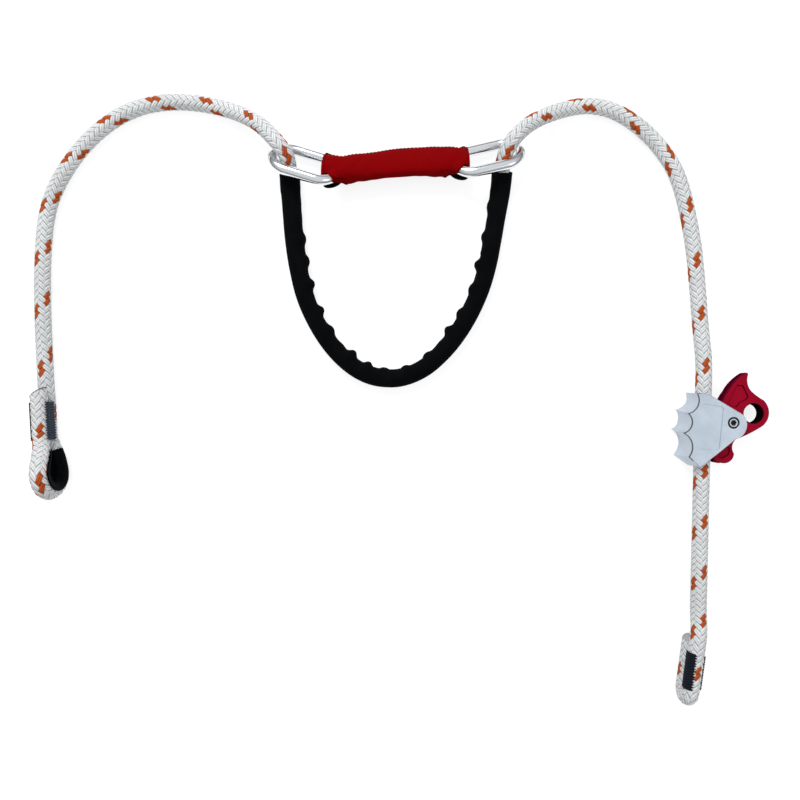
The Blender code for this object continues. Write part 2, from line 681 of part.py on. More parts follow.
def bridge_line(rings):
    """The red sleeve's middle line, and the directions across it and out of its flat side."""
    start, end = (ring.bend(0)[:2] for ring in rings)
    bow = unit(np.array((start[1] - end[1], end[0] - start[0])))
    points = []
    for share, place in zip(BRIDGE_ALONG_SHARES, BRIDGE_ROUTE):
        out, height = mm(place)
        points.append(np.array((*(start + share * (end - start) + out * bow), height)))
    curve = smooth_curve(points)
    across = np.array((0.0, -math.cos(BRIDGE_TILT), math.sin(BRIDGE_TILT)))
    normal = np.array((0.0, math.sin(BRIDGE_TILT), math.cos(BRIDGE_TILT)))
    return curve, across, normal


def build_webbing(rings, finish, parts):
    """The webbing loop: two layers that part to go round each ring's wire."""
    left, right = rings
    near = RING_WIRE / 2 + GAP
    far = near + WEBBING_THICKNESS
    spread = np.linspace(WEBBING_WRAP_FAR, WEBBING_WRAP_NEAR, WEBBING_WIDTH_STEPS + 1)
    share = np.linspace(0, 1, WEBBING_RUN_STEPS + 1)
    level = GAP / 2 + (near - GAP / 2) * np.abs(np.cos(math.pi * share)) ** WEBBING_CLOSING
    curve, across, flat = bridge_line(rings)
    middle = at_length(curve, lengths_along(curve)[-1] / 2)
    ahead = tangents(curve)[len(curve) // 2]
    edges = np.linspace(-WEBBING_HALF_WIDTH, WEBBING_HALF_WIDTH, WEBBING_WIDTH_STEPS + 1)

    def wrap(ring, angle, radius, turn):
        return ring.bend(angle) + radius * (
            math.cos(turn) * ring.normal - math.sin(turn) * ring.outward(angle)
        )

    def strand(ring, angle, edge, way, t):
        start, lead = ring.bend(angle), WEBBING_LEAD * ring.outward(angle)
        end, arrive = middle + edge * across, WEBBING_LEAD * way * ahead
        return (
            (2 * t**3 - 3 * t**2 + 1) * start + (t**3 - 2 * t**2 + t) * lead
            + (3 * t**2 - 2 * t**3) * end + (t**3 - t**2) * arrive
        )

    def run(i, depth):
        points = []
        held = abs(2 * share[i] - 1) ** WEBBING_CLOSING
        end = left if share[i] <= 0.5 else right
        normal = unit(held * end.normal + (1 - held) * flat)
        for angle, edge in zip(spread, edges):
            if share[i] <= 0.5:
                place = strand(left, angle, edge, 1, 2 * share[i])
            else:
                place = strand(right, angle, edge, -1, 2 - 2 * share[i])
            points.append(place + depth * normal)
        return points

    rows = []
    for i in range(len(share)):
        rows.append(run(i, level[i] + WEBBING_THICKNESS) + run(i, level[i])[::-1])
    turns = math.pi * np.arange(1, WEBBING_WRAP_STEPS) / WEBBING_WRAP_STEPS
    for turn in turns:
        rows.append([wrap(right, s, far, turn) for s in spread]
                    + [wrap(right, s, near, turn) for s in spread[::-1]])
    for i in reversed(range(len(share))):
        rows.append(run(i, -level[i] - WEBBING_THICKNESS) + run(i, -level[i])[::-1])
    for turn in turns[::-1]:
        rows.append([wrap(left, s, far, turn) for s in spread]
                    + [wrap(left, s, near, turn) for s in spread[::-1]])
    add_object("bridge_webbing", lofted(rows, "bridge_webbing", ring=True), finish, parts)


def build_bridge_sleeve(rings, finish, parts):
    """The red sleeve: a soft flat tube, wider at its mouths, each cut back round the near rim."""
    curve, across, normal = bridge_line(rings)
    whole = lengths_along(curve)[-1]
    share = np.linspace(0, 1, BRIDGE_STEPS + 1)
    angles = math.tau * np.arange(BRIDGE_SIDES) / BRIDGE_SIDES
    power = 2 / BRIDGE_SQUARENESS
    wide = np.sign(np.cos(angles)) * np.abs(np.cos(angles)) ** power
    deep = np.sign(np.sin(angles)) * np.abs(np.sin(angles)) ** power
    cut_back = np.clip((wide - BRIDGE_NOTCH_FROM_SHARE) / (1 - BRIDGE_NOTCH_FROM_SHARE), 0, 1)
    notch = BRIDGE_NOTCH_DEPTH * cut_back
    flare = np.clip((np.abs(2 * share - 1) - 1) / (2 * BRIDGE_FLARE_SHARE) + 1, 0, 1)
    flare = flare * flare * (3 - 2 * flare)
    half_width = BRIDGE_WAIST_HALF_WIDTH + (
        BRIDGE_MOUTH_HALF_WIDTH - BRIDGE_WAIST_HALF_WIDTH
    ) * flare
    half_depth = BRIDGE_WAIST_HALF_DEPTH + (
        BRIDGE_MOUTH_HALF_DEPTH - BRIDGE_WAIST_HALF_DEPTH
    ) * flare
    sheets = []
    for inset in (0, BRIDGE_WALL):
        rows = []
        for i, t in enumerate(share):
            points = at_length(curve, notch + t * (whole - 2 * notch))
            points += ((half_width[i] - inset) * wide)[:, None] * across
            points += ((half_depth[i] - inset) * deep)[:, None] * normal
            points[:, 2] = np.maximum(points[:, 2], GAP / 2 + inset)
            rows.append(points)
        sheets.append(rows)
    rows = sheets[0] + sheets[1][::-1]
    add_object("bridge_sleeve", lofted(rows, "bridge_sleeve", ring=True), finish, parts)


def grab_line():
    """The rope's line through the grab: a point of it and its direction."""
    first, last = mm(GRAB_ROUTE[0]), mm(GRAB_ROUTE[-1])
    return first, unit(last - first)


def build_body(finish, parts, cutters):
    """The grab's body: a plate with finger scallops, hollowed for the rope and the cam."""
    outline = outline_from(BODY_OUTLINE_SHARES, BODY_WIDTH, BODY_LENGTH)
    body = plate("adjuster_body", outline, 0, BODY_DEPTH, PIVOT_PLACE, finish, parts, BODY_EDGE)
    first, ahead = grab_line()
    middle = np.array((*first[:2], BODY_DEPTH / 2))
    side = unit(np.cross((0.0, 0.0, 1.0), ahead))
    half = BODY_DEPTH / 2 - BODY_CHEEK
    radius = ROPE_DIAMETER / 2 + CHANNEL_CLEARANCE
    angles = np.linspace(math.pi / 2, 3 * math.pi / 2, ROUND_STEPS // 2 + 1)
    profile = [(radius * math.cos(a), half * math.sin(a)) for a in angles]
    profile += [(BODY_WIDTH, -half), (BODY_WIDTH, half)]
    rows = []
    for along in (-BODY_LENGTH, 2 * BODY_LENGTH):
        place = middle + along * ahead
        rows.append([place + a * side + (0, 0, b) for a, b in profile])
    channel = add_object("cut_channel", lofted(rows, "cut_channel"), None, cutters)
    pivot = PIVOT_PLACE
    bore = cylinder(
        "cut_bolt_bore", (BOLT_SHANK + BOLT_FIT) / 2, -CUT_OVERRUN, BODY_DEPTH + CUT_OVERRUN,
        pivot, None, cutters, SMALL_ROUND_STEPS,
    )
    head = cylinder(
        "cut_bolt_head", BOLT_HEAD / 2 + GAP, BODY_DEPTH - BOLT_HEAD_HEIGHT - BOLT_HEAD_SINK,
        BODY_DEPTH + CUT_OVERRUN, pivot, None, cutters, SMALL_ROUND_STEPS,
    )
    nut = cylinder(
        "cut_nut_seat", NUT_FLATS / math.sqrt(3) + GAP, -CUT_OVERRUN, NUT_HEIGHT + NUT_SINK,
        pivot, None, cutters, 6,
    )
    leg_place = (PIVOT_PLACE[0] + SPRING_RADIUS, PIVOT_PLACE[1])
    leg = cylinder(
        "cut_spring_leg", SPRING_LEG_HOLE / 2, BODY_CHEEK - SPRING_LEG - GAP,
        BODY_CHEEK + CUT_OVERRUN, leg_place, None, cutters, SMALL_ROUND_STEPS // 2,
    )
    panel = plate(
        "cut_panel", rounded_outline(PANEL_SHARES, BODY_WIDTH, BODY_LENGTH, PANEL_CORNER),
        BODY_DEPTH - PANEL_DEPTH, BODY_DEPTH + CUT_OVERRUN, pivot, None, cutters,
    )
    cut(body, (channel, bore, head, nut, leg, panel))


def cam_heights():
    """The cam's lower and upper faces."""
    middle = BODY_DEPTH / 2
    return middle - CAM_THICKNESS / 2, middle + CAM_THICKNESS / 2


def bush_radius():
    return (BOLT_SHANK + BOLT_FIT) / 2 + BUSH_WALL


def build_cam(finish, parts, cutters):
    """The cam with its release horn, connector hole, toe and hub."""
    low, high = cam_heights()
    outline = outline_from(CAM_OUTLINE_SHARES, CAM_WIDTH, CAM_LENGTH)
    cam = plate("adjuster_cam", outline, low, high, PIVOT_PLACE, finish, parts, CAM_EDGE)
    for point in cam.data.vertices:
        point.co.z += (low + high) / 2
    cam.location = (*PIVOT_PLACE, 0)
    hole_place = (
        PIVOT_PLACE[0] + CONNECTOR_HOLE_SHARES[0] * CAM_WIDTH,
        PIVOT_PLACE[1] + CONNECTOR_HOLE_SHARES[1] * CAM_LENGTH,
    )
    hole = cylinder(
        "cut_connector_hole", CONNECTOR_HOLE / 2, low - CUT_OVERRUN, high + CUT_OVERRUN,
        hole_place, None, cutters,
    )
    bore = cylinder(
        "cut_cam_bore", bush_radius() + BUSH_FIT / 2, low - CUT_OVERRUN, high + CUT_OVERRUN,
        PIVOT_PLACE, None, cutters, SMALL_ROUND_STEPS,
    )
    inner = SPRING_RADIUS - SPRING_WIRE / 2 - SPRING_POCKET_FIT
    outer = SPRING_RADIUS + SPRING_WIRE / 2 + SPRING_POCKET_FIT
    groove = turned(
        "cut_spring_groove",
        [
            (inner, low - CUT_OVERRUN), (outer, low - CUT_OVERRUN),
            (outer, low + SPRING_POCKET_DEPTH), (inner, low + SPRING_POCKET_DEPTH),
        ],
        ROUND_STEPS, (*PIVOT_PLACE, 0), None, cutters,
    )
    end = spring_path()[-1]
    leg = cylinder(
        "cut_cam_spring_leg", SPRING_LEG_HOLE / 2, low + CAM_POCKET_DEPTH, end[2] + GAP,
        (PIVOT_PLACE[0] + end[0], PIVOT_PLACE[1] + end[1]), None, cutters,
        SMALL_ROUND_STEPS // 2,
    )
    pockets = []
    for name, shares in (("horn", CAM_HORN_POCKET_SHARES), ("toe", CAM_TOE_POCKET_SHARES)):
        shape = rounded_outline(shares, CAM_WIDTH, CAM_LENGTH, CAM_POCKET_CORNER)
        pockets.append(plate(
            f"cut_{name}_pocket_front", shape, high - CAM_POCKET_DEPTH, high + CUT_OVERRUN,
            PIVOT_PLACE, None, cutters,
        ))
        pockets.append(plate(
            f"cut_{name}_pocket_rear", shape, low - CUT_OVERRUN, low + CAM_POCKET_DEPTH,
            PIVOT_PLACE, None, cutters,
        ))
    cut(cam, (hole, bore, groove, leg, *pockets))


def spring_path():
    """The torsion spring's wire from its leg in the rear cheek to its leg in the cam."""
    low, _ = cam_heights()
    start = low + SPRING_WIRE / 2 + GAP
    count = round(SPRING_TURNS * SPRING_STEPS_PER_TURN)
    angles = math.tau * np.arange(count + 1) / SPRING_STEPS_PER_TURN
    heights = start + SPRING_PITCH * angles / math.tau
    points = [
        (SPRING_RADIUS * math.cos(a), SPRING_RADIUS * math.sin(a), z)
        for a, z in zip(angles, heights)
    ]
    foot = (SPRING_RADIUS, 0.0, BODY_CHEEK - SPRING_LEG)
    top = (*points[-1][:2], points[-1][2] + SPRING_LEG)
    return [foot] + points + [top]


def build_pivot(steel, bronze, parts, cutters):
    """The bolt, bush, thrust washers, nut and torsion spring on the pivot's axis."""
    x, y = PIVOT_PLACE
    low, high = cam_heights()
    shank = BOLT_SHANK / 2
    top = BODY_DEPTH - BOLT_HEAD_SINK + GAP / 2
    seat = top - BOLT_HEAD_HEIGHT + GAP / 2
    bolt = cylinder("pivot_bolt", BOLT_HEAD / 2, seat, top, (x, y), steel, parts)
    stem = cylinder(
        "join_bolt_stem", shank, NUT_SINK + GAP, seat + GAP, (x, y), None, cutters,
        SMALL_ROUND_STEPS,
    )
    socket = cylinder(
        "cut_bolt_socket", BOLT_SOCKET_FLATS / math.sqrt(3), top - BOLT_SOCKET_DEPTH,
        top + CUT_OVERRUN, (x, y), None, cutters, 6,
    )
    cut(bolt, (stem,), "UNION")
    cut(bolt, (socket,))
    bush = bush_radius()
    hole = bush - BUSH_WALL
    turned(
        "pivot_bush",
        [(hole, BODY_CHEEK + GAP), (bush, BODY_CHEEK + GAP),
         (bush, BODY_DEPTH - BODY_CHEEK - GAP), (hole, BODY_DEPTH - BODY_CHEEK - GAP)],
        ROUND_STEPS, (x, y, 0), bronze, parts,
    )
    inside = bush + BUSH_FIT / 2
    outside = inside + WASHER_WIDTH
    spare = (low - BODY_CHEEK - WASHER_THICKNESS) / 2
    for name, base in (
        ("thrust_washer_rear", BODY_CHEEK + spare), ("thrust_washer_front", high + spare)
    ):
        turned(
            name,
            [(inside, base), (outside, base), (outside, base + WASHER_THICKNESS),
             (inside, base + WASHER_THICKNESS)],
            ROUND_STEPS, (x, y, 0), steel, parts,
        )
    nut = cylinder(
        "pivot_nut", NUT_FLATS / math.sqrt(3), NUT_SINK, NUT_SINK + NUT_HEIGHT - GAP, (x, y),
        steel, parts, 6,
    )
    thread = cylinder(
        "cut_nut_thread", shank + GAP, -CUT_OVERRUN, BODY_CHEEK, (x, y), None, cutters,
        SMALL_ROUND_STEPS,
    )
    cut(nut, (thread,))
    spring = add_object(
        "cam_spring", poly_curve("cam_spring", spring_path(), SPRING_WIRE / 2, 1), steel, parts
    )
    spring.location = (x, y, 0)


def main():
    for old in list(bpy.data.objects):
        bpy.data.objects.remove(old, do_unlink=True)
    parts = bpy.data.collections.new(COLLECTION_NAME)
    cutters = bpy.data.collections.new("cutters")
    for made in (parts, cutters):
        bpy.context.scene.collection.children.link(made)
    cutters.hide_render = True

    rope = material("braided_rope", (0.78, 0.78, 0.75), 0.85)
    thread = material("sewing_thread", (0.05, 0.07, 0.1), 0.8)
    black_rubber = material("thimble_rubber", (0.015, 0.015, 0.017), 0.55)
    black_web = material("black_webbing", (0.012, 0.013, 0.015), 0.9)
    red_cloth = material("red_cloth", (0.45, 0.008, 0.015), 0.8)
    steel = material("polished_steel", (0.75, 0.76, 0.78), 0.12, 1.0)
    silver = material("silver_anodised", (0.62, 0.65, 0.7), 0.35, 0.8)
    crimson = material("crimson_anodised", (0.4, 0.005, 0.04), 0.3, 0.6)
    bronze = material("bush_bronze", (0.5, 0.33, 0.14), 0.4, 1.0)

    curve = rope_curve()
    rings = ring_pair()
    build_rope(curve, rope, parts)
    build_wear_sleeve(curve, black_web, parts)
    build_thimble(curve, black_rubber, parts)
    build_seams(LEFT_SEAM_ENDS, ("eye_seam_inner", "eye_seam_outer"), thread, parts)
    build_seams(END_SEAM_ENDS, ("end_seam_inner", "end_seam_outer"), thread, parts)
    build_rings(rings, steel, parts)
    build_webbing(rings, black_web, parts)
    build_bridge_sleeve(rings, red_cloth, parts)
    build_body(silver, parts, cutters)
    build_cam(crimson, parts, cutters)
    build_pivot(steel, bronze, parts, cutters)


main()
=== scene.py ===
"""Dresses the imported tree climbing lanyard, laid out flat on a bench.

The rope gets its braid with two orange tracer strands, the wear sleeve its gathers, the bridge
its red cloth and black webbing, the eyes their stitching and thimble, and the rings and the
rope grab their metal. Everything is in metres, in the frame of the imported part, +Z up from the
bench. The file is laid out as a Blender add-on and is run as a script.
"""

import json
import math

import bmesh
import bpy
import numpy as np
from bpy.props import FloatProperty, FloatVectorProperty, IntProperty, PointerProperty
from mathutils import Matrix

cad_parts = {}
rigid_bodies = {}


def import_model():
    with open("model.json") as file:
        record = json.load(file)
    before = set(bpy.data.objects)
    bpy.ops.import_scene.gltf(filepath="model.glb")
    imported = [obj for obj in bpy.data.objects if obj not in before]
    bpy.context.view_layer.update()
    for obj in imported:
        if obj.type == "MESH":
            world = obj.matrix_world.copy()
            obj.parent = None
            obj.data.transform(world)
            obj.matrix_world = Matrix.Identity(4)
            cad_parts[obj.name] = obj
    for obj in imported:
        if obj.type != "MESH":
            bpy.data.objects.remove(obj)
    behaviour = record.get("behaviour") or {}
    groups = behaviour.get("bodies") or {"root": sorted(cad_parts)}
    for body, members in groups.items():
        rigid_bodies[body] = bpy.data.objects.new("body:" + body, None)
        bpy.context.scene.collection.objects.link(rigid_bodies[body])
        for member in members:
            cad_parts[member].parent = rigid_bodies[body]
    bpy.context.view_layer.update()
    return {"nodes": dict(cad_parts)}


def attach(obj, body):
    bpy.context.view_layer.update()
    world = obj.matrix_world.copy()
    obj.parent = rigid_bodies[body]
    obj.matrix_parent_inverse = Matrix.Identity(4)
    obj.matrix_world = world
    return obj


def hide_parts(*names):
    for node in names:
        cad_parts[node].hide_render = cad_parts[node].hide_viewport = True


bl_info = {
    "name": "Tree Climbing Lanyard",
    "version": (1, 0, 0),
    "blender": (4, 5, 0),
    "location": "3D View > Sidebar > Lanyard",
    "description": "Dresses a packed tree climbing lanyard with rope, cloth and metal",
    "category": "Object",
}

for startup_object in list(bpy.data.objects):
    bpy.data.objects.remove(startup_object, do_unlink=True)
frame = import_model()

MM = 0.001
GAP = 0.3 * MM
MERGE = 0.002 * MM

# The rope's route, in millimetres, as the CAD source has it: from the tail of the left eye
# through the left leg, the wear sleeve and the right leg to the small eye at the end.
LEFT_EYE_ROUTE = [
    (-290.4, -107.0, 19.9), (-289.9, -113.7, 19.9), (-289.3, -124.0, 19.9),
    (-288.7, -135.0, 19.9), (-288.1, -145.2, 19.9), (-286.6, -152.5, 22.4),
    (-284.4, -160.0, 28.4), (-282.6, -166.8, 34.2), (-281.3, -174.5, 36.9),
    (-280.4, -181.6, 34.4), (-279.8, -186.2, 29.0), (-279.4, -187.8, 21.9),
    (-279.1, -186.0, 14.6), (-278.9, -180.8, 8.8), (-279.4, -173.0, 6.6),
    (-281.3, -163.5, 6.5), (-284.8, -154.0, 6.5), (-288.1, -145.2, 6.5),
    (-288.7, -135.0, 6.5), (-289.3, -124.0, 6.5), (-289.9, -113.7, 6.5),
]
LEFT_LEG_ROUTE = [
    (-290.9, -101.0, 6.5), (-292.3, -74.0, 6.5), (-293.3, -51.0, 6.5), (-293.8, -30.0, 6.5),
    (-293.9, -9.0, 6.5), (-293.2, 11.0, 6.5), (-291.4, 31.5, 6.5), (-287.9, 49.0, 6.5),
    (-282.0, 63.9, 6.5), (-274.4, 77.6, 6.5), (-265.3, 90.6, 6.5), (-255.3, 102.0, 6.5),
    (-244.3, 112.0, 6.5), (-232.6, 120.2, 6.5), (-220.4, 126.4, 6.5), (-208.0, 130.6, 6.5),
    (-195.5, 132.8, 6.5), (-182.2, 133.6, 6.5), (-169.8, 133.0, 6.5), (-157.3, 131.2, 6.6),
    (-144.8, 128.0, 7.9), (-132.6, 123.2, 11.0), (-120.9, 116.6, 15.5), (-110.2, 108.8, 20.4),
    (-101.8, 100.2, 23.7), (-94.7, 92.0, 24.6), (-89.4, 84.4, 20.7), (-88.3, 78.1, 14.0),
    (-88.0, 71.8, 9.1),
]
CHOKER_ROUTE = [
    (-88.0, 66.5, 8.3), (-87.8, 60.0, 8.2), (-87.3, 51.7, 8.2), (-86.5, 39.3, 8.2),
    (-84.8, 18.7, 8.2), (-81.4, -4.0, 8.2), (-75.3, -28.5, 8.2), (-65.6, -50.0, 8.2),
    (-54.2, -67.5, 8.2), (-42.6, -80.0, 8.2), (-31.2, -88.4, 8.2), (-19.7, -93.2, 8.2),
    (-9.1, -95.0, 8.2), (1.6, -94.8, 8.2), (12.5, -91.8, 8.2), (23.6, -86.0, 8.2),
    (34.9, -76.4, 8.2), (46.6, -63.0, 8.2), (58.4, -44.5, 8.2), (68.8, -21.8, 8.2),
    (75.0, -1.0, 8.2), (78.6, 17.5, 8.2), (81.6, 35.6, 8.2), (84.3, 51.0, 8.2),
    (85.6, 61.0, 8.2), (86.4, 68.6, 8.3),
]
RIGHT_LEG_ROUTE = [
    (86.8, 74.0, 9.1), (87.5, 80.9, 14.1), (89.0, 87.8, 20.9), (93.7, 95.5, 24.9),
    (100.6, 103.0, 24.2), (108.6, 110.0, 21.0), (118.0, 116.8, 15.9), (128.0, 122.4, 11.2),
    (138.6, 126.8, 7.9), (149.6, 129.6, 6.6), (160.6, 130.4, 6.5), (171.8, 128.9, 6.5),
    (182.8, 124.9, 6.5), (193.6, 118.8, 6.5), (204.0, 110.9, 6.5), (213.6, 101.6, 6.5),
    (222.0, 91.3, 6.5), (229.2, 80.2, 6.5), (234.8, 67.2, 6.5), (239.0, 52.4, 6.5),
    (242.5, 36.4, 6.5), (245.6, 18.9, 6.5), (248.0, -1.0, 6.5), (249.9, -22.4, 6.5),
    (251.2, -43.2, 6.9), (252.2, -62.0, 8.6), (252.6, -78.0, 11.0), (252.5, -90.0, 12.0),
]
GRAB_ROUTE = [
    (252.14, -104.0, 12.2), (251.44, -134.0, 12.2), (250.74, -164.0, 12.2),
    (250.03, -194.0, 12.2), (249.33, -224.0, 12.2), (248.63, -254.0, 12.2),
    (248.0, -281.0, 12.2),
]
END_EYE_ROUTE = [
    (247.6, -288.0, 13.0), (246.8, -296.0, 15.6), (245.5, -303.5, 18.4), (244.1, -311.0, 19.8),
    (242.7, -320.0, 19.9), (241.3, -330.0, 19.9), (239.9, -340.0, 19.9), (238.5, -350.0, 19.9),
]
END_TAIL_LENGTH = 38 * MM
ROPE_DIAMETER = 13 * MM
STRAND_SPACING = 13.4 * MM
TURN_STEPS = 24

# The braid: carriers in all, half of them each way, and which of one way's strands are orange.
CARRIERS = 16
TRACERS = (0, 1)
FLOAT_PERIOD = 4
# Each leg's lay, as its orange strands show it: the braid's pitch, how far along the first
# fleck lies and its angle from the top, then how far the lay has crept along and round the
# rope at evenly spaced places.
LAYS = {
    "rope_left_leg": (
        43.42, 3.56, 256.5, (-16.5, -11.8, 0.0, -0.1, 0.4, 0.5),
        (88.7, 63.7, -5.8, 0.6, 6.3, 12.8)),
    "rope_in_sleeve": (43.6, 0.0, 0.0, (0.0, 0.0), (0.0, 0.0)),
    "rope_right_leg": (
        43.94, 3.31, 214.2, (-1.6, -0.1, 6.6, 6.8, -2.5, -13.7),
        (-35.9, 4.1, 55.4, 49.2, 26.1, 43.5)),
}
# Further than the lay creeps, so that its rows are looked for past both ends.
LAY_MARGIN = 50 * MM
# The power of a strand's section, a rounder one than a parabola, and the yarns across it.
STRAND_ROUND = 2.3
YARNS = 2
# The left eye's tail is cut on a slant: how steep, and how far along the strands lean with it.
TAIL_SLANT = 0.55
TAIL_SLANT_REACH = 14 * MM
# A cut end: how far it is scorched, how far it bulges, by its rings' shares of the radius and
# of that depth, and how far an end that is out of sight goes on.
SCORCH_REACH = 1.2 * MM
DOME = ((0.92, 0.4), (0.75, 0.68), (0.5, 0.88), (0.22, 0.98))
CUT_DEPTH = 0.8 * MM
HIDDEN_DEPTH = 5.0 * MM
# Added to the places along the strands of the other way, so that their fibres differ.
OTHER_WAY = 40

# The sewn bands: grid step and stitch along, slant in turns from the middle to an edge, and how
# far the band in the valley between two strands lies from their middles.
STITCH_STEP = 0.16 * MM
STITCH_PITCH = 2.1 * MM
STITCH_SLANT = 0.9
VALLEY_REACH = 7.15 * MM
# Loose stitches: which way their sections start from, and their ends' share of the thickness.
THREAD_UP = (0.13, 0.21, 0.97)
THREAD_TIP = 0.35

# The thimble: the rope's places it goes between and how far past them, its inside radius, the
# back's height over that at the ends and what it gains over the taper, and its half widths.
THIMBLE_BETWEEN = ((-284.4, -160.0, 28.4), (-281.3, -163.5, 6.5))
THIMBLE_PAST = 8 * MM
THIMBLE_HUG = 7.1 * MM
THIMBLE_LIP = 0.4 * MM
THIMBLE_BACK = 1.9 * MM
THIMBLE_TAPER = 12 * MM
THIMBLE_FLANGES = (7.9 * MM, 7.7 * MM)

# The wear sleeve. Its radius in millimetres on the bend's inner side between gathers, and on
# its outer side, at places along it; then each gather's place and how high it stands.
SLEEVE_BORE = 13.4 * MM
SLEEVE_RADIUS = 7.9 * MM
SLEEVE_THINNEST = 6.95 * MM
SLEEVE_LAP = 6.5 * MM
SLEEVE_RIPPLE = 0.1 * MM
# How fast its sides' forms fade round it, and a gather's, and how steep a gather's flanks are.
SLEEVE_SIDES = 1.3
GATHER_SIDES = 2.2
GATHER_STEEPNESS = 2.6
SLEEVE_INSIDE = [
    (-6.5, 8.4), (6, 8.3), (30, 8.2), (57, 8.0), (78, 7.65), (104, 7.2), (120, 6.95),
    (170, 6.7), (187, 6.0), (222, 6.2), (258, 6.8), (318, 6.7), (340, 7.35), (366, 7.1),
    (385, 7.9), (406, 8.1),
]
SLEEVE_OUTSIDE = [
    (-6.5, 8.7), (6, 8.3), (24, 7.6), (60, 7.45), (150, 7.7), (190, 8.25), (230, 7.9),
    (290, 8.2), (340, 8.0), (375, 8.2), (393, 8.7), (406, 8.9),
]
GATHERS = (
    (48, 1.7), (66.5, 2.1), (87, 2.6), (111.5, 2.7), (130.5, 2.2), (147, 0.6), (159.5, 3.4),
    (178, 2.6), (193.5, 1.9), (213.5, 1.9), (237, 1.8), (252, 0.5), (266, 3.1), (284, 2.0),
    (307, 1.8), (328.5, 3.0), (353, 1.6), (378, 0.9),
)

# The rings.
RING_WIRE = 8.5 * MM
RING_LENGTH = 63 * MM
RING_WIDTH = 39.1 * MM
RING_TILT = math.radians(39.5)
RING_HEIGHT = 15.6 * MM
RING_PLACES = ((-74.55 * MM, 78.8 * MM), (74.25 * MM, 84.0 * MM))
RING_TURNS = (math.radians(-17), math.radians(193))

# The webbing loop and the red sleeve of the bridge.
WEBBING_THICKNESS = 1.3 * MM
# How far round each ring's bend the webbing lies: from its far edge to its near edge, which
# lies further round in the lower layer.
WEBBING_WRAP = (math.radians(-43), math.radians(24))
WEBBING_WRAP_BELOW = math.radians(58)
# The lower layer lies wider within this share of the length from a ring, and leads straight off
# the wire there by so many leads more.
WEBBING_SPREAD = 0.10
WEBBING_BULGE = 3.4
WEBBING_HALF_WIDTH = 9.6 * MM
# How far the webbing leads straight off a wire, and how soon its two layers close up.
WEBBING_LEAD = 14 * MM
WEBBING_CLOSING = 4
# The bridge's middle line: places as shares of the way between the rings, and there how far it
# stands out to the far side and how high, in millimetres.
BRIDGE_ALONG_SHARES = (-0.1241, 0.0147, 0.1539, 0.41, 0.6669, 0.8823, 0.9943, 1.1269)
BRIDGE_ROUTE = [
    (7.86, 12.3), (4.48, 12.9), (4.3, 12.6), (6.1, 12.2), (6.29, 12.2), (5.17, 12.6),
    (4.78, 12.9), (6.86, 12.3),
]
BRIDGE_TILT = math.radians(31)
BRIDGE_WALL = 0.9 * MM
BRIDGE_SQUARENESS = 2.5
# Each mouth is cut back round this angle on its near side, and slants towards its far side.
BRIDGE_NOTCH_DEPTH = 19.5 * MM
BRIDGE_NOTCH_AT = math.radians(-56)
BRIDGE_NOTCH_HALF = math.radians(75)
BRIDGE_SLANT = 1.8 * MM
# What the notches take off the length on average, for the size of the flat cloth.
BRIDGE_MEAN_NOTCH = 0.6 * BRIDGE_NOTCH_DEPTH
BRIDGE_CREASE = 0.28 * MM
BRIDGE_RIPPLE = 0.16 * MM
BRIDGE_HEM = 0.15 * MM
BRIDGE_HEM_SHARE = 0.018
# The stitches' places in the grid of the red sleeve: along its seam and round its hems.
SEAM_COLUMNS = (50, 46)
SEAM_ROWS = slice(6, 235)
HEM_ROWS = (4, 236)
# The red sleeve's form: share of its length, half width, half depth and how far it sags
# towards its near side, in millimetres.
BRIDGE_FORM = [
    (0.0, 12.8, 9.9, 1.7), (0.065, 12.8, 9.9, 1.6), (0.125, 12.4, 9.7, 1.4),
    (0.185, 12.3, 9.0, 0.4), (0.255, 13.1, 7.6, -0.4), (0.32, 13.5, 6.8, -0.2),
    (0.39, 13.9, 6.5, 0.0), (0.53, 14.3, 6.4, -0.2), (0.66, 14.8, 6.4, -0.1),
    (0.8, 14.1, 8.1, 0.4), (0.88, 13.4, 9.5, 1.4), (0.935, 12.7, 9.8, 2.6),
    (1.0, 12.1, 9.9, 3.8),
]

# The rope grab. Outlines are shares of a width and a length, measured from the pivot: a corner,
# the middle of the arc to the next corner or None for a straight side, and so on.
BODY_SIZE = (51.5 * MM, 59.5 * MM)
BODY_DEPTH = 24.4 * MM
BODY_CHEEK = 4.8 * MM
PIVOT = (271.15 * MM, -132.1 * MM)
CHANNEL_RADIUS = 7.0 * MM
BODY_OUTLINE = [
    (-0.569, 0.397), (-0.542, 0.272), (-0.711, 0.126), (-0.645, -0.01), (-0.786, -0.139),
    (-0.641, -0.316), (-0.695, -0.461), None, (-0.524, -0.603), (-0.245, -0.418), (0.029, -0.224),
    (0.213, -0.02), (0.148, 0.113), None, (-0.315, 0.353), (-0.43, 0.395),
]
PANEL_CORNERS = [(-0.49, 0.262), (-0.155, 0.215), (-0.225, -0.366), (-0.58, -0.353)]
PANEL_DEPTH = 0.5 * MM
CAM_SIZE = (46.2 * MM, 73.5 * MM)
CAM_THICKNESS = 11.6 * MM
CAM_OUTLINE = [
    (0.294, 0.555), (0.322, 0.549), (0.327, 0.524), (0.326, 0.42), (0.379, 0.354), (0.5, 0.29),
    (0.606, 0.248), (0.7, 0.1), (0.589, -0.037), (0.43, -0.097), (0.117, -0.185), (0.065, -0.229),
    (0.082, -0.344), (0.02, -0.425), (-0.154, -0.445), (-0.262, -0.432), (-0.288, -0.405),
    (-0.264, -0.29), (-0.205, -0.125), (-0.245, 0.025), (-0.18, 0.135), (-0.134, 0.238),
    (-0.035, 0.343), (0.1, 0.46),
]
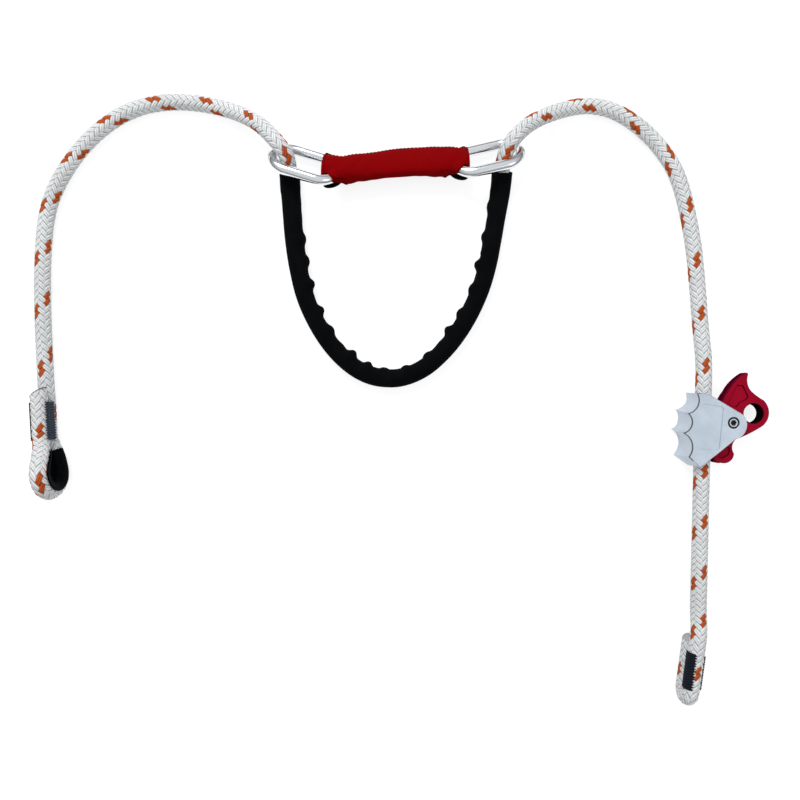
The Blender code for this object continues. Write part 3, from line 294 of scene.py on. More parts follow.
# Its width, and its place in shares of the cam's size.
CONNECTOR_HOLE = (15.5 * MM, 0.416, 0.101)
HORN_POCKET = [
    (0.124, 0.422), (0.238, 0.411), (0.335, 0.284), (0.28, 0.247), (0.185, 0.222),
    (0.115, 0.165), (-0.052, 0.2), (0.018, 0.289),
]
TOE_POCKET = [
    (-0.222, -0.383), (-0.14, -0.314), (-0.035, -0.253), (0.009, -0.292), (-0.017, -0.358),
    (-0.13, -0.4),
]
# How far the scallops' rear edges stand off their front ones: at a place along Y, in
# millimetres, the step along X and the step along Y.
SCALLOP_STEPS = [
    (-170.0, -0.7, 0.0), (-164.0, -1.5, 0.0), (-159.5, -3.5, 0.0), (-150.0, -1.6, 1.0),
    (-141.2, -0.9, 2.6), (-133.0, -2.2, 2.6), (-124.8, -1.0, 3.0), (-116.0, -1.3, 1.2),
    (-108.2, 0.8, 1.3),
]
# They lean left of this place along X, fully so after the fade.
SCALLOPS_FROM = 245 * MM
SCALLOPS_FADE = 3.5 * MM
POCKET_DEPTH = 1.2 * MM
# How far the tools that cut the body and the cam go past a face, and what they cut.
BEYOND = 2 * MM
BORE = 3.3 * MM
SEAT = 4.5 * MM
SEAT_DEPTH = 2.5 * MM
SEAT_BEVEL = 0.35 * MM
NUT_FLATS = 9 * MM
NUT_DEPTH = 2.8 * MM
HOLE_ROUND = 1.0 * MM
CAM_BORE = 4.8 * MM
SPRING_GROOVE = (8.35 * MM, 10.25 * MM)
GROOVE_DEPTH = 4.6 * MM

# The bench's half side, and the place on it that the lights face.
FLOOR_HALF = 6.0
LIT_PLACE = (0.0, -0.1, 0.0)


# ---------------------------------------------------------------- lines and surfaces


def connector_place():
    """The place of the cam's connector hole on the bench."""
    return np.array(PIVOT) + np.multiply(CONNECTOR_HOLE[1:], CAM_SIZE)


def unit(vectors):
    """A vector, or each row of them, at length one."""
    return vectors / np.linalg.norm(vectors, axis=-1, keepdims=True)


def towards(middle, points, directions):
    """Directions at points, each turned about where it leads away from the middle."""
    return directions * np.sign(((middle - points) * directions).sum(axis=1))[:, None]


def smooth_curve(points, per_span=16):
    """A centripetal Catmull-Rom curve: each span is blended from its four nearest points."""
    points = np.asarray(points, float)
    points = np.vstack([2 * points[0] - points[1], points, 2 * points[-1] - points[-2]])
    pieces = []
    for p0, p1, p2, p3 in zip(points[:-3], points[1:-2], points[2:-1], points[3:]):
        t1 = math.sqrt(np.linalg.norm(p1 - p0))
        t2 = t1 + math.sqrt(np.linalg.norm(p2 - p1))
        t3 = t2 + math.sqrt(np.linalg.norm(p3 - p2))
        t = np.linspace(t1, t2, per_span, endpoint=False)[:, None]
        a1 = (t1 - t) / t1 * p0 + t / t1 * p1
        a2 = (t2 - t) / (t2 - t1) * p1 + (t - t1) / (t2 - t1) * p2
        a3 = (t3 - t) / (t3 - t2) * p2 + (t - t2) / (t3 - t2) * p3
        b1 = (t2 - t) / t2 * a1 + t / t2 * a2
        b2 = (t3 - t) / (t3 - t1) * a2 + (t - t1) / (t3 - t1) * a3
        pieces.append((t2 - t) / (t2 - t1) * b1 + (t - t1) / (t2 - t1) * b2)
    return np.vstack(pieces + [points[-2][None, :]])


def lengths_along(curve):
    return np.concatenate([[0], np.cumsum(np.linalg.norm(np.diff(curve, axis=0), axis=1))])


def at_length(curve, wanted):
    """Points at the wanted lengths along a curve."""
    along = lengths_along(curve)
    return np.stack([np.interp(wanted, along, curve[:, k]) for k in range(3)], axis=-1)


def nearest_length(curve, point):
    return lengths_along(curve)[np.linalg.norm(curve - point, axis=1).argmin()]


def tangents(curve):
    return unit(np.gradient(curve, axis=0))


def carried_frames(points, reference):
    """Three directions at each point: ahead, up and right. Up is carried along without twist,
    mirrored twice from each point to the next."""
    ahead = tangents(points)
    up = np.empty_like(points)
    up[0] = unit(reference - ahead[0] * (ahead[0] @ reference))
    for i in range(len(points) - 1):
        step = points[i + 1] - points[i]
        turned = up[i] - 2 * (step @ up[i]) / (step @ step) * step
        heading = ahead[i] - 2 * (step @ ahead[i]) / (step @ step) * step
        rest = ahead[i + 1] - heading
        size = rest @ rest
        up[i + 1] = turned - 2 * (rest @ turned) / size * rest if size > 1e-18 else turned
    return ahead, up, np.cross(ahead, up)


def rope_line():
    """The whole rope's centre line, with the end eye's half circle and its straight tail."""
    route = (
        LEFT_EYE_ROUTE + LEFT_LEG_ROUTE + CHOKER_ROUTE + RIGHT_LEG_ROUTE + GRAB_ROUTE
        + END_EYE_ROUTE
    )
    curve = smooth_curve(np.array(route) * MM)
    ahead = unit(np.subtract(END_EYE_ROUTE[-1], END_EYE_ROUTE[-2]))
    radius = STRAND_SPACING / 2
    middle = curve[-1] - (0, 0, radius)
    angles = math.pi * np.arange(1, TURN_STEPS + 1) / TURN_STEPS
    turn = middle + radius * round_about(angles, np.array((0, 0, 1)), ahead)
    tail = turn[-1] - np.linspace(0, END_TAIL_LENGTH, TURN_STEPS)[:, None] * ahead
    return np.vstack([curve, turn, tail[1:]])


def new_piece(name, points, groups, finish, corners=None, values=None, smooth=True):
    """A mesh object at the origin. groups are arrays of faces with equal corner counts, corners
    maps a UV map's name to its places per corner, and values an attribute to its numbers."""
    groups = [np.asarray(g, np.int32) for g in groups if len(g)]
    mesh = bpy.data.meshes.new(name)
    mesh.vertices.add(len(points))
    mesh.vertices.foreach_set("co", np.asarray(points, np.float32).ravel())
    loops = np.concatenate([g.ravel() for g in groups])
    counts = np.concatenate([np.full(len(g), g.shape[1], np.int32) for g in groups])
    starts = np.concatenate([[0], np.cumsum(counts)[:-1]]).astype(np.int32)
    mesh.loops.add(len(loops))
    mesh.loops.foreach_set("vertex_index", loops)
    mesh.polygons.add(len(counts))
    mesh.polygons.foreach_set("loop_start", starts)
    mesh.polygons.foreach_set("loop_total", counts)
    for label, places in (corners or {}).items():
        layer = mesh.uv_layers.new(name=label)
        layer.data.foreach_set("uv", np.asarray(places, np.float32).ravel())
    for label, (domain, numbers) in (values or {}).items():
        layer = mesh.attributes.new(label, "FLOAT", domain)
        layer.data.foreach_set("value", np.asarray(numbers, np.float32).ravel())
    mesh.update(calc_edges=True)
    mesh.validate()
    if smooth:
        mesh.shade_smooth()
    made = bpy.data.objects.new(name, mesh)
    mesh.materials.append(finish)
    bpy.context.scene.collection.objects.link(made)
    return made


def grid_of(rows, around, ring=False):
    """Faces of a grid of points: rows of the given size, closed across and, for a ring, along."""
    i = np.arange(rows if ring else rows - 1)[:, None]
    j = np.arange(around)[None, :]
    there, beside = (i + 1) % rows, (j + 1) % around
    faces = [i * around + j, i * around + beside, there * around + beside, there * around + j]
    return np.stack(faces, axis=-1).reshape(-1, 4)


def grid_places(across, along, ring=False):
    """The UV places of grid_of's corners: across has one value more than a row has points."""
    along = np.append(along, along[0]) if ring else along
    places = np.stack(np.meshgrid(across, along), axis=-1)
    corners = [places[:-1, :-1], places[:-1, 1:], places[1:, 1:], places[1:, :-1]]
    return np.stack(corners, axis=2).reshape(-1, 2)


def flat_ends(rows, around):
    """The two faces that close a tube over a grid of points."""
    return np.stack([np.arange(around)[::-1], (rows - 1) * around + np.arange(around)])


def shell(name, rows, finish, places=None, ring=True, values=None):
    """A surface over rows of section points: a closed ring of rows, or a tube with flat ends.
    places are the cloth map's values across and along."""
    rows = np.asarray(rows, float)
    count, around = rows.shape[:2]
    groups = [grid_of(count, around, ring)]
    cloth = [grid_places(*places, ring)] if places else []
    if not ring:
        groups.append(flat_ends(count, around))
        cloth.append(np.zeros((2 * around, 2)))
    corners = {"cloth": np.vstack(cloth)} if places else None
    return facing_out(new_piece(name, rows.reshape(-1, 3), groups, finish, corners, values))


def facing_out(made):
    """Turns every face outwards if the mesh encloses a negative volume."""
    mesh = made.data
    mesh.calc_loop_triangles()
    points = np.empty(len(mesh.vertices) * 3, np.float32)
    mesh.vertices.foreach_get("co", points)
    index = np.empty(len(mesh.loop_triangles) * 3, np.int32)
    mesh.loop_triangles.foreach_get("vertices", index)
    corners = points.reshape(-1, 3).astype(float)[index.reshape(-1, 3)]
    if np.linalg.det(corners - corners.mean(axis=(0, 1))).sum() < 0:
        mesh.flip_normals()
    return made


def round_about(angles, first, second):
    """Directions at angles from a first direction towards a second, by cosine and sine."""
    return np.cos(angles)[..., None] * first + np.sin(angles)[..., None] * second


def swept_threads(name, lines, radius, finish, sides):
    """Round threads: each line of points carries a circle, drawn in to a point at its ends."""
    points, quads, caps = [], [], []
    angles = math.tau * np.arange(sides) / sides
    for line in lines:
        start = sides * sum(map(len, points))
        _, up, right = carried_frames(line, np.array(THREAD_UP))
        size = np.full((len(line), 1, 1), radius)
        size[[0, -1]] *= THREAD_TIP
        points.append(line[:, None] + size * round_about(angles, up[:, None], right[:, None]))
        quads.append(grid_of(len(line), sides) + start)
        caps.append(flat_ends(len(line), sides) + start)
    faces = [np.vstack(quads), np.vstack(caps)]
    return facing_out(new_piece(name, np.vstack(points).reshape(-1, 3), faces, finish))


# ---------------------------------------------------------------- finishes


class Finish:
    """A material whose nodes are added and joined one by one."""

    def __init__(self, name, **sockets):
        self.material = bpy.data.materials.new(name)
        self.material.use_nodes = True
        self.tree = self.material.node_tree
        self.shader = self.tree.nodes["Principled BSDF"]
        for label, value in sockets.items():
            self.join(self.shader, label.replace("_", " "), value)

    def join(self, node, label, value):
        socket = node.inputs[label]
        if isinstance(value, bpy.types.NodeSocket):
            self.tree.links.new(value, socket)
        elif socket.type == "RGBA":
            socket.default_value = (*value[:3], 1)
        else:
            socket.default_value = value

    def node(self, kind, inputs=(), **settings):
        made = self.tree.nodes.new("ShaderNode" + kind)
        for label, value in settings.items():
            setattr(made, label, value)
        for label, value in dict(inputs).items():
            self.join(made, label, value)
        return made

    def math(self, operation, first, second=0.0):
        return self.node("Math", {0: first, 1: second}, operation=operation).outputs[0]

    def times(self, first, second):
        return self.math("MULTIPLY", first, second)

    def most(self, first, *others):
        """The highest of some numbers."""
        for other in others:
            first = self.math("MAXIMUM", first, other)
        return first

    def mix(self, share, first, second):
        """A colour between two."""
        made = self.node("Mix", data_type="RGBA")
        for place, value in ((0, share), (6, first), (7, second)):
            self.join(made, place, value)
        return made.outputs[2]

    def blend(self, share, first, second):
        """A number between two."""
        return self.node("Mix", {0: share, 2: first, 3: second}, data_type="FLOAT").outputs[0]

    def spread(self, value, low=0.3, high=0.7, to_low=0.0, to_high=1.0):
        """A number moved from one range to another, held inside it."""
        made = self.node("MapRange", {0: value, 1: low, 2: high, 3: to_low, 4: to_high})
        return made.outputs[0]

    def below(self, value, low, high):
        """One under the low number, none over the high one."""
        return self.spread(value, low, high, 1.0, 0.0)

    def place(self):
        return self.node("TexCoord").outputs["Object"]

    def axis(self, k):
        """One coordinate of the place on the piece."""
        return self.node("SeparateXYZ", {0: self.place()}).outputs[k]

    def distance(self, place):
        """How far from an upright axis through that place of the bench a point lies."""
        flat = self.node("VectorMath", {0: self.place(), 1: (1.0, 1.0, 0.0)}, operation="MULTIPLY")
        apart = self.node("VectorMath", {0: flat.outputs[0], 1: (*place, 0.0)},
                          operation="DISTANCE")
        return apart.outputs["Value"]

    def scaled(self, place, *scale):
        return self.node("Mapping", {"Vector": place, "Scale": scale}).outputs[0]

    def cloth_place(self, label, *scale):
        return self.scaled(self.node("UVMap", uv_map=label).outputs[0], *scale)

    def noise(self, place, scale, detail=2.0, rough=0.5):
        made = self.node("TexNoise", {"Vector": place, "Scale": scale, "Detail": detail,
                                      "Roughness": rough})
        return made.outputs["Fac"]

    def number(self, label):
        return self.node("Attribute", attribute_name=label).outputs["Fac"]

    def weave(self, place):
        """A plain weave's height: one thread's arch or the other's, by the cell's parity."""
        parts = self.node("SeparateXYZ", {0: place})
        arches = [
            self.math("ABSOLUTE", self.math("SINE", self.times(parts.outputs[k], math.pi)))
            for k in (0, 1)
        ]
        cell = self.node("TexChecker", {"Vector": place, "Scale": 1.0}).outputs["Fac"]
        return self.blend(cell, *arches)

    def handled_metal(self, bright, dull, rough, grain_rough, drift=70.0, grain=1300.0):
        """Colour and gloss that drift, with a fine grain in the gloss. Returns the drifting
        colour and the grain."""
        place = self.place()
        drift = self.noise(place, drift, 3.0, 0.6)
        grain = self.noise(place, grain)
        self.rough(self.math("ADD", self.spread(drift, to_low=rough[0], to_high=rough[1]),
                             self.times(grain, grain_rough)))
        return self.mix(self.spread(drift), bright, dull), grain

    def colour(self, value):
        self.join(self.shader, "Base Color", value)

    def rough(self, value):
        self.join(self.shader, "Roughness", value)

    def relief(self, height, distance, strength=0.5):
        bump = self.node("Bump", {"Height": height, "Distance": distance, "Strength": strength})
        self.join(self.shader, "Normal", bump.outputs[0])


def darker(colour, share):
    return tuple(share * c for c in colour)


def braid_finish(settings):
    """Off-white strands of fine yarns, two of them orange, with shade painted into the colour in
    the valleys between strands and in the grooves between yarns.
    """
    made = Finish("braided_rope", Specular_IOR_Level=0.25)
    strand = made.cloth_place("strand", 1.0, 1.0, 1.0)
    across = made.node("SeparateXYZ", {0: strand}).outputs[0]
    turn = made.times(made.math("ADD", across, 0.5), math.pi * YARNS)
    yarn = made.math("ABSOLUTE", made.math("SINE", turn))
    fibre = made.noise(made.scaled(strand, 22.0, 2.2, 1.0), 1.0, 3.0, 0.6)
    soil = made.noise(made.place(), 45.0, 3.0, 0.55)
    plain = made.mix(made.spread(soil, 0.35, 0.75), settings.strand_colour,
                     settings.soiled_colour)
    orange = made.mix(made.spread(fibre), settings.tracer_colour, settings.tracer_dark_colour)
    tracer = made.number("tracer")
    strands = made.mix(tracer, plain, orange)
    # The painted shade's colour: grey on the white strands, dark brown on the orange ones.
    shade = made.mix(tracer, (0.15, 0.155, 0.17), (0.07, 0.01, 0.003))
    # Painted shade in the grooves between yarns and, by how sunk a point lies, in the valleys
    # between strands; fibre streaks at random take the same colour.
    between = made.spread(yarn, 0.0, 0.6, 0.65, 0.0)
    sunk = made.spread(made.number("sunk"), 0.18, 0.48, 0.0, 0.93)
    streak = made.spread(fibre, 0.45, 0.8, 0.0, 0.25)
    shaded = made.mix(made.most(between, sunk, streak), strands, shade)
    made.colour(made.mix(made.number("sealed"), shaded, (0.03, 0.02, 0.015)))
    made.rough(made.spread(fibre, 0.2, 0.8, 0.7, 0.95))
    made.relief(made.math("ADD", yarn, fibre), 0.3 * MM, 1.0)
    return made.material


def woven_finish(name, dark, light, threads, depth, wear=None):
    """Cloth of a plain weave, so many threads to the metre each way: each thread's arch in the
    relief, and in the colour as painted light and shade, light on the arch and dark between
    threads; its colour drifting a little."""
    made = Finish(name, Specular_IOR_Level=0.03)
    weave = made.weave(made.cloth_place("cloth", *threads, 1.0))
    drift = made.noise(made.place(), 60.0, 3.0, 0.6)
    # The weave mixes the dark colour, painted shade between the threads, with the light one, the
    # threads' painted lit arches; the drift then moves it at random towards the wear colour.
    made.colour(made.mix(made.spread(drift, 0.3, 0.75, 0.0, 0.55),
                         made.mix(weave, dark, light), wear or dark))
    made.rough(made.spread(drift, 0.25, 0.75, 0.78, 0.95))
    made.relief(weave, depth, 0.8)
    return made.material


def thread_finish(name, dark, light):
    """Twisted sewing thread, with shade painted into its colour between its turns."""
    made = Finish(name, Specular_IOR_Level=0.1)
    speck = made.noise(made.place(), 900.0, 2.0, 0.6)
    tone = made.mix(made.spread(speck), dark, light)
    # Painted shade: the dark colour where the sunk attribute is high.
    made.colour(made.mix(made.number("sunk"), tone, dark))
    made.rough(made.spread(speck, 0.3, 0.7, 0.55, 0.85))
    made.relief(speck, 0.08 * MM)
    return made.material


def metal_finish(name, bright, dull, rough, relief=None):
    """Bare metal, its roughness a fifth under to a quarter over the given one."""
    made = Finish(name, Metallic=1.0)
    tone, grain = made.handled_metal(bright, dull, (rough * 0.8, rough * 1.25), rough * 0.2,
                                     grain=1400.0)
    made.colour(tone)
    if relief:
        made.relief(grain, relief)
    return made.material


def body_finish(settings):
    """Silver anodised metal, with a painted dark reflection along the scallops' front edges and
    painted shade in the bolt's seat.
    """
    made = Finish("silver_anodised_body", Metallic=0.6, Specular_IOR_Level=0.4)
    metal, grain = made.handled_metal(settings.silver, darker(settings.silver, 0.9),
                                      (0.3, 0.42), 0.06, drift=60.0)
    top, height = BODY_DEPTH, made.axis(2)
    # Where the dark reflection is painted: the rounded edge just under the top face.
    edge = made.times(made.spread(height, top - 1.7 * MM, top - 1.1 * MM),
                      made.below(height, top - 0.1 * MM, top - 0.02 * MM))
    # The painted dark reflection is kept to the scallops, which lie left of a line that leans a
    # little: 258 mm, and 0.12 of the place along Y.
    slanted = made.math("SUBTRACT", made.axis(0), made.times(made.axis(1), 0.12))
    scallop_reflection = made.times(edge, made.below(slanted, 258.0 * MM, 258.7 * MM))
    # Painted shade in the bolt's seat, round the head.
    seat = made.times(made.below(height, top - 0.3 * MM, top - 0.1 * MM),
                      made.below(made.distance(PIVOT), 5.0 * MM, 5.2 * MM))
    # The same near-black for the painted reflection and the painted shade.
    made.colour(made.mix(made.most(made.times(scallop_reflection, 0.93), seat), metal,
                         (0.03, 0.035, 0.045)))
    made.relief(grain, 0.03 * MM)
    return made.material


def cam_finish(settings):
    """Crimson anodised metal, with shade painted into the colour: dark down its walls and nearly
    black in the connector hole.
    """
    made = Finish("crimson_anodised_cam", Metallic=0.0)
    metal, grain = made.handled_metal(settings.crimson, darker(settings.crimson, 0.85),
                                      (0.3, 0.42), 0.06)
    face = (BODY_DEPTH + CAM_THICKNESS) / 2
    floor = face - POCKET_DEPTH
    height = made.axis(2)
    # Painted shade down the pockets' walls and the cam's outer sides.
    wall = made.times(made.below(height, face - 0.5 * MM, face - 0.15 * MM),
                      made.spread(height, floor + 0.08 * MM, floor + 0.2 * MM))
    side = made.below(height, floor - 0.4 * MM, floor - 0.1 * MM)
    rim = CONNECTOR_HOLE[0] / 2
    inside = made.below(made.distance(connector_place()), rim + 0.5 * MM, rim + 0.9 * MM)
    wall_shade = made.most(wall, side)
    # Dark red painted shade on the walls, near black in the connector hole; neither has any gloss.
    deep = made.mix(made.times(wall_shade, 0.85), metal, (0.05, 0.0, 0.012))
    made.colour(made.mix(made.times(inside, 0.95), deep, (0.004, 0.003, 0.004)))
    made.join(made.shader, "Specular IOR Level", made.blend(made.most(wall_shade, inside), 0.04, 0.0))
    made.relief(grain, 0.02 * MM)
    return made.material


def bolt_finish():
    """Steel with painted shade: a dark ring round the head's edge and a dark socket."""
    made = Finish("pivot_bolt_steel", Metallic=1.0)
    fine = made.noise(made.place(), 1400.0)
    # Painted shade in the gap round the head and down the socket.
    ring = made.spread(made.distance(PIVOT), 3.1 * MM, 3.5 * MM)
    socket = made.below(made.axis(2), BODY_DEPTH - 0.9 * MM, BODY_DEPTH - 0.6 * MM)
    steel = made.mix(made.spread(fine), (0.46, 0.49, 0.52), (0.34, 0.36, 0.39))
    made.colour(made.mix(made.most(ring, socket), steel, (0.012, 0.014, 0.018)))
    made.rough(made.spread(fine, 0.3, 0.7, 0.22, 0.34))
    return made.material


def rubber_finish():
    """Hard black rubber, faintly mottled."""
    made = Finish("thimble_rubber", Specular_IOR_Level=0.02)
    mottle = made.noise(made.place(), 320.0, 3.0, 0.6)
    made.colour(made.mix(made.spread(mottle), (0.0008, 0.0012, 0.0018),
                         (0.0028, 0.0035, 0.0045)))
    made.rough(made.spread(mottle, 0.3, 0.7, 0.42, 0.62))
    made.relief(mottle, 0.12 * MM)
    return made.material


# ---------------------------------------------------------------- solids of the grab


def arc_through(start, middle, end, steps):
    """Points on the circle through three points of a plane, from the first to the last."""
    (ax, ay), (bx, by), (cx, cy) = start, middle, end
    across = 2 * (ax * (by - cy) + bx * (cy - ay) + cx * (ay - by))
    a2, b2, c2 = ax * ax + ay * ay, bx * bx + by * by, cx * cx + cy * cy
    ux = (a2 * (by - cy) + b2 * (cy - ay) + c2 * (ay - by)) / across
    uy = (a2 * (cx - bx) + b2 * (ax - cx) + c2 * (bx - ax)) / across
    radius = math.hypot(ax - ux, ay - uy)
    first = math.atan2(ay - uy, ax - ux)
    sweep = (math.atan2(cy - uy, cx - ux) - first) % math.tau
    if (math.atan2(by - uy, bx - ux) - first) % math.tau > sweep:
        sweep -= math.tau
    angles = first + sweep * np.linspace(0, 1, steps + 1)
    return np.stack([ux + radius * np.cos(angles), uy + radius * np.sin(angles)], axis=1)


def outline_from(chain, size, steps):
    """An outline in metres, anticlockwise, from corners with each side's middle after its first
    corner: a side is an arc through its middle, or straight where that is None."""
    pieces = []
    for start, middle, end in zip(chain[::2], chain[1::2], chain[2::2] + chain[:1]):
        if middle is None:
            pieces.append(np.array([start]) * size)
        else:
            pieces.append(arc_through(*np.array([start, middle, end]) * size, steps)[:-1])
    return anticlockwise(np.vstack(pieces))


def anticlockwise(outline):
    """The outline, the other way round where the area under its sides adds up to less than 0."""
    beside = np.roll(outline, -1, axis=0)
    area = (outline[:, 0] * beside[:, 1] - beside[:, 0] * outline[:, 1]).sum()
    return outline if area > 0 else outline[::-1]


def rounded_outline(shares, size, radius, steps=8):
    """An outline with straight sides and round corners."""
    corners = np.array(shares) * size
    points = []
    for i, corner in enumerate(corners):
        back, on = unit(corners[i - 1] - corner), unit(corners[(i + 1) % len(corners)] - corner)
        half = math.acos(float(np.clip(back @ on, -1, 1))) / 2
        centre = corner + unit(back + on) * radius / math.sin(half)
        reach = radius / math.tan(half)
        middle = centre + unit(corner - centre) * radius
        points.append(arc_through(corner + back * reach, middle, corner + on * reach, steps))
    return anticlockwise(np.vstack(points))


def inset(outline, distance):
    """The outline moved inwards. A point that would land too near another side, round a sharp
    corner, goes to its nearest neighbour along the outline that doesn't."""
    step = np.roll(outline, -1, axis=0) - outline
    normal = unit(np.stack([-step[:, 1], step[:, 0]], axis=1))
    before = np.roll(normal, 1, axis=0)
    spread = np.maximum(1 + (normal * before).sum(axis=1), 0.35)[:, None]
    moved = outline + distance * (normal + before) / spread
    if distance <= 0:
        return moved
    reach = moved[:, None] - outline[None]
    share = np.clip((reach * step).sum(axis=2) / (step * step).sum(axis=1), 0, 1)
    room = np.linalg.norm(reach - share[..., None] * step, axis=2).min(axis=1)
    clear = np.flatnonzero(room > 0.985 * distance)
    apart = np.abs(np.arange(len(outline))[:, None] - clear[None])
    return moved[clear[np.minimum(apart, len(outline) - apart).argmin(axis=1)]]


def plate(name, outline, levels, finish):
    """A flat solid at the pivot: the outline at each level of (height, inset), closed by two
    flat faces."""
    rows = [np.column_stack([inset(outline, cut) + PIVOT, np.full(len(outline), height)])
            for height, cut in levels]
    made = shell(name, rows, finish, ring=False)
    shaped = bmesh.new()
    shaped.from_mesh(made.data)
    bmesh.ops.remove_doubles(shaped, verts=shaped.verts, dist=MERGE)
    bmesh.ops.dissolve_degenerate(shaped, edges=shaped.edges, dist=MERGE)
    shaped.to_mesh(made.data)
    shaped.free()
    return made


def rounded_levels(low, high, radius, steps=4):
    """Levels of a plate whose edges are quarter rounds of that radius."""
    rounds = [(radius * (1 - math.sin(a)), radius * (1 - math.cos(a)))
              for a in np.linspace(0, math.pi / 2, steps + 1)]
    return ([(low + height, cut) for height, cut in rounds[::-1]]
            + [(high - height, cut) for height, cut in rounds])


def turned(name, profile, finish, place=PIVOT, steps=64, ring=False):
    """A turned piece: a profile of radii and heights goes once round an upright axis."""
    around = round_about(math.tau * np.arange(steps) / steps, *np.eye(3)[:2])
    rows = [radius * around + (*place, height) for radius, height in profile]
    return shell(name, rows, finish, ring=ring)


def carve(target, cutters):
    """Cuts each cutter from the target and keeps the result as its mesh."""
    for cutter in cutters:
        modifier = target.modifiers.new(cutter.name, "BOOLEAN")
        modifier.object = cutter
        modifier.operation = "DIFFERENCE"
        modifier.solver = "EXACT"
    graph = bpy.context.evaluated_depsgraph_get()
    mesh = bpy.data.meshes.new_from_object(target.evaluated_get(graph))
    target.modifiers.clear()
    target.data = mesh
    for cutter in cutters:
        bpy.data.objects.remove(cutter, do_unlink=True)


def crisp(made, degrees):
    """Smooth faces that meet sharply beyond that angle, their normals weighted by area."""
    faces = made.data.polygons
    facing = np.empty(3 * len(faces))
    faces.foreach_get("normal", facing)
    faces.foreach_set("use_smooth", np.abs(facing[2::3]) < 0.9999)
    made.data.set_sharp_from_angle(angle=math.radians(degrees))
    modifier = made.modifiers.new("even_normals", "WEIGHTED_NORMAL")
    modifier.keep_sharp = True
    return made


# ---------------------------------------------------------------- settings


def metres(name, description, default, lowest=0.0):
    return FloatProperty(name=name, description=description, default=default, min=lowest,
                         unit="LENGTH")


def tint(name, description, *default):
    return FloatVectorProperty(name=name, description=description, default=default, size=3,
                               subtype="COLOR", min=0, max=1)


class LanyardStageSettings(bpy.types.PropertyGroup):
    camera_height: metres("Camera height", "Height of the camera over the bench", 0.570, 0.1)
    camera_place: FloatVectorProperty(
        name="Camera place", description="Where on the bench the camera looks straight down",
        default=(0.00285, -0.1137), size=2, subtype="XYZ", unit="LENGTH")
    seen_width: metres("Seen width", "Width of the bench that the picture shows", 0.6717, 0.05)
    floor_colour: tint("Floor colour", "Colour of the pale floor", 0.86, 0.86, 0.86)


class LanyardRopeSettings(bpy.types.PropertyGroup):
    diameter: metres("Rope diameter", "Over the crowns of the strands", 13.1 * MM, 2 * MM)
    fineness: IntProperty(
        name="Grid steps per strand", description="Even number of faces across one strand",
        default=6, min=2, max=12)
    crown: metres("Strand crown", "How far a strand's middle stands over its edges", 0.55 * MM)
    rise: metres("Strand rise", "How far a strand rises and dips as it crosses others", 0.30 * MM)
    strand_colour: tint("Strand colour", "Clean strands", 0.93, 0.94, 0.93)
    soiled_colour: tint("Soiled colour", "Strands where they are handled", 0.78, 0.80, 0.80)
    tracer_colour: tint("Tracer colour", "The orange strands", 0.70, 0.13, 0.016)
    tracer_dark_colour: tint("Dark tracer colour", "The orange strands' darker fibres",
                             0.40, 0.055, 0.008)


class LanyardClothSettings(bpy.types.PropertyGroup):
    gather_fullness: FloatProperty(
        name="Gather fullness", description="How high the gathers stand, in their table's heights",
        default=1.2, min=0, max=1.4)
    gather_width: metres("Gather width", "Half of each gather's length along the sleeve",
                         4.48 * MM, 1 * MM)
    # The red of the threads' painted lit arches, and the red of the shade painted between them.
    red: tint("Bridge red", "The red sleeve's lit threads", 0.29, 0.0005, 0.0015)
    dark_red: tint("Bridge dark red", "The red sleeve between its threads", 0.09, 0.0, 0.001)


class LanyardGrabSettings(bpy.types.PropertyGroup):
    body_edge: metres("Body edge round", "Radius of the body's outer edges", 0.7 * MM, 0.1 * MM)
    cam_edge: metres("Cam edge round", "Radius of the cam's outer edges", 1.3 * MM, 0.1 * MM)
    silver: tint("Body silver", "The body's anodised colour", 0.53, 0.60, 0.68)
    crimson: tint("Cam crimson", "The cam's anodised colour", 0.33, 0.001, 0.018)


# ---------------------------------------------------------------- the pieces


def strand_height(a, b, crown, rise):
    """The braid's height at strand places a and b: the highest of the two strands each way.

    A strand's height is its crown, one less the offset from its middle to a power, plus a
    cosine wave along it that is high over two crossings and low under the next two.
    """
    heights = []
    for own, other, centre in ((a, b, 0.5), (b, a, 2.5)):
        base = np.floor(own)
        for strand in (base, base + 1):
            bump = np.maximum(1 - np.abs(2 * (own - strand)) ** STRAND_ROUND, -1)
            wave = np.cos(math.tau * (other + strand - centre) / FLOAT_PERIOD)
            heights.append(crown * bump + rise * wave)
    return np.max(heights, axis=0)


def lay_rows(lay, length, steps):
    """Where the grid's rows lie on a stretch of rope: their numbers, places and extra turn.

    A row's number over the steps in a pitch is its phase. The place is the phase times the
    pitch, plus what the lay has crept by there; the first and last row are the rope's ends.
    """
    pitch, first, turn, creep, twist = lay
    pitch, zero = pitch * MM, first * MM + pitch * MM / (2 * CARRIERS)
    knots = np.linspace(0, length, len(creep))

    def crept(base):
        return base + np.interp(base, knots, np.multiply(creep, MM))

    base = np.linspace(-LAY_MARGIN, length + LAY_MARGIN, 4001)
    low, high = ((np.interp(end, crept(base), base) - zero) / pitch * steps
                 for end in (0, length))
    number = np.arange(math.ceil(low), math.floor(high) + 1)
    base = number / steps * pitch + zero
    place = crept(base)
    place[0], place[-1] = 0, length
    return number, place, np.radians(turn - 180 / CARRIERS + np.interp(base, knots, twist))


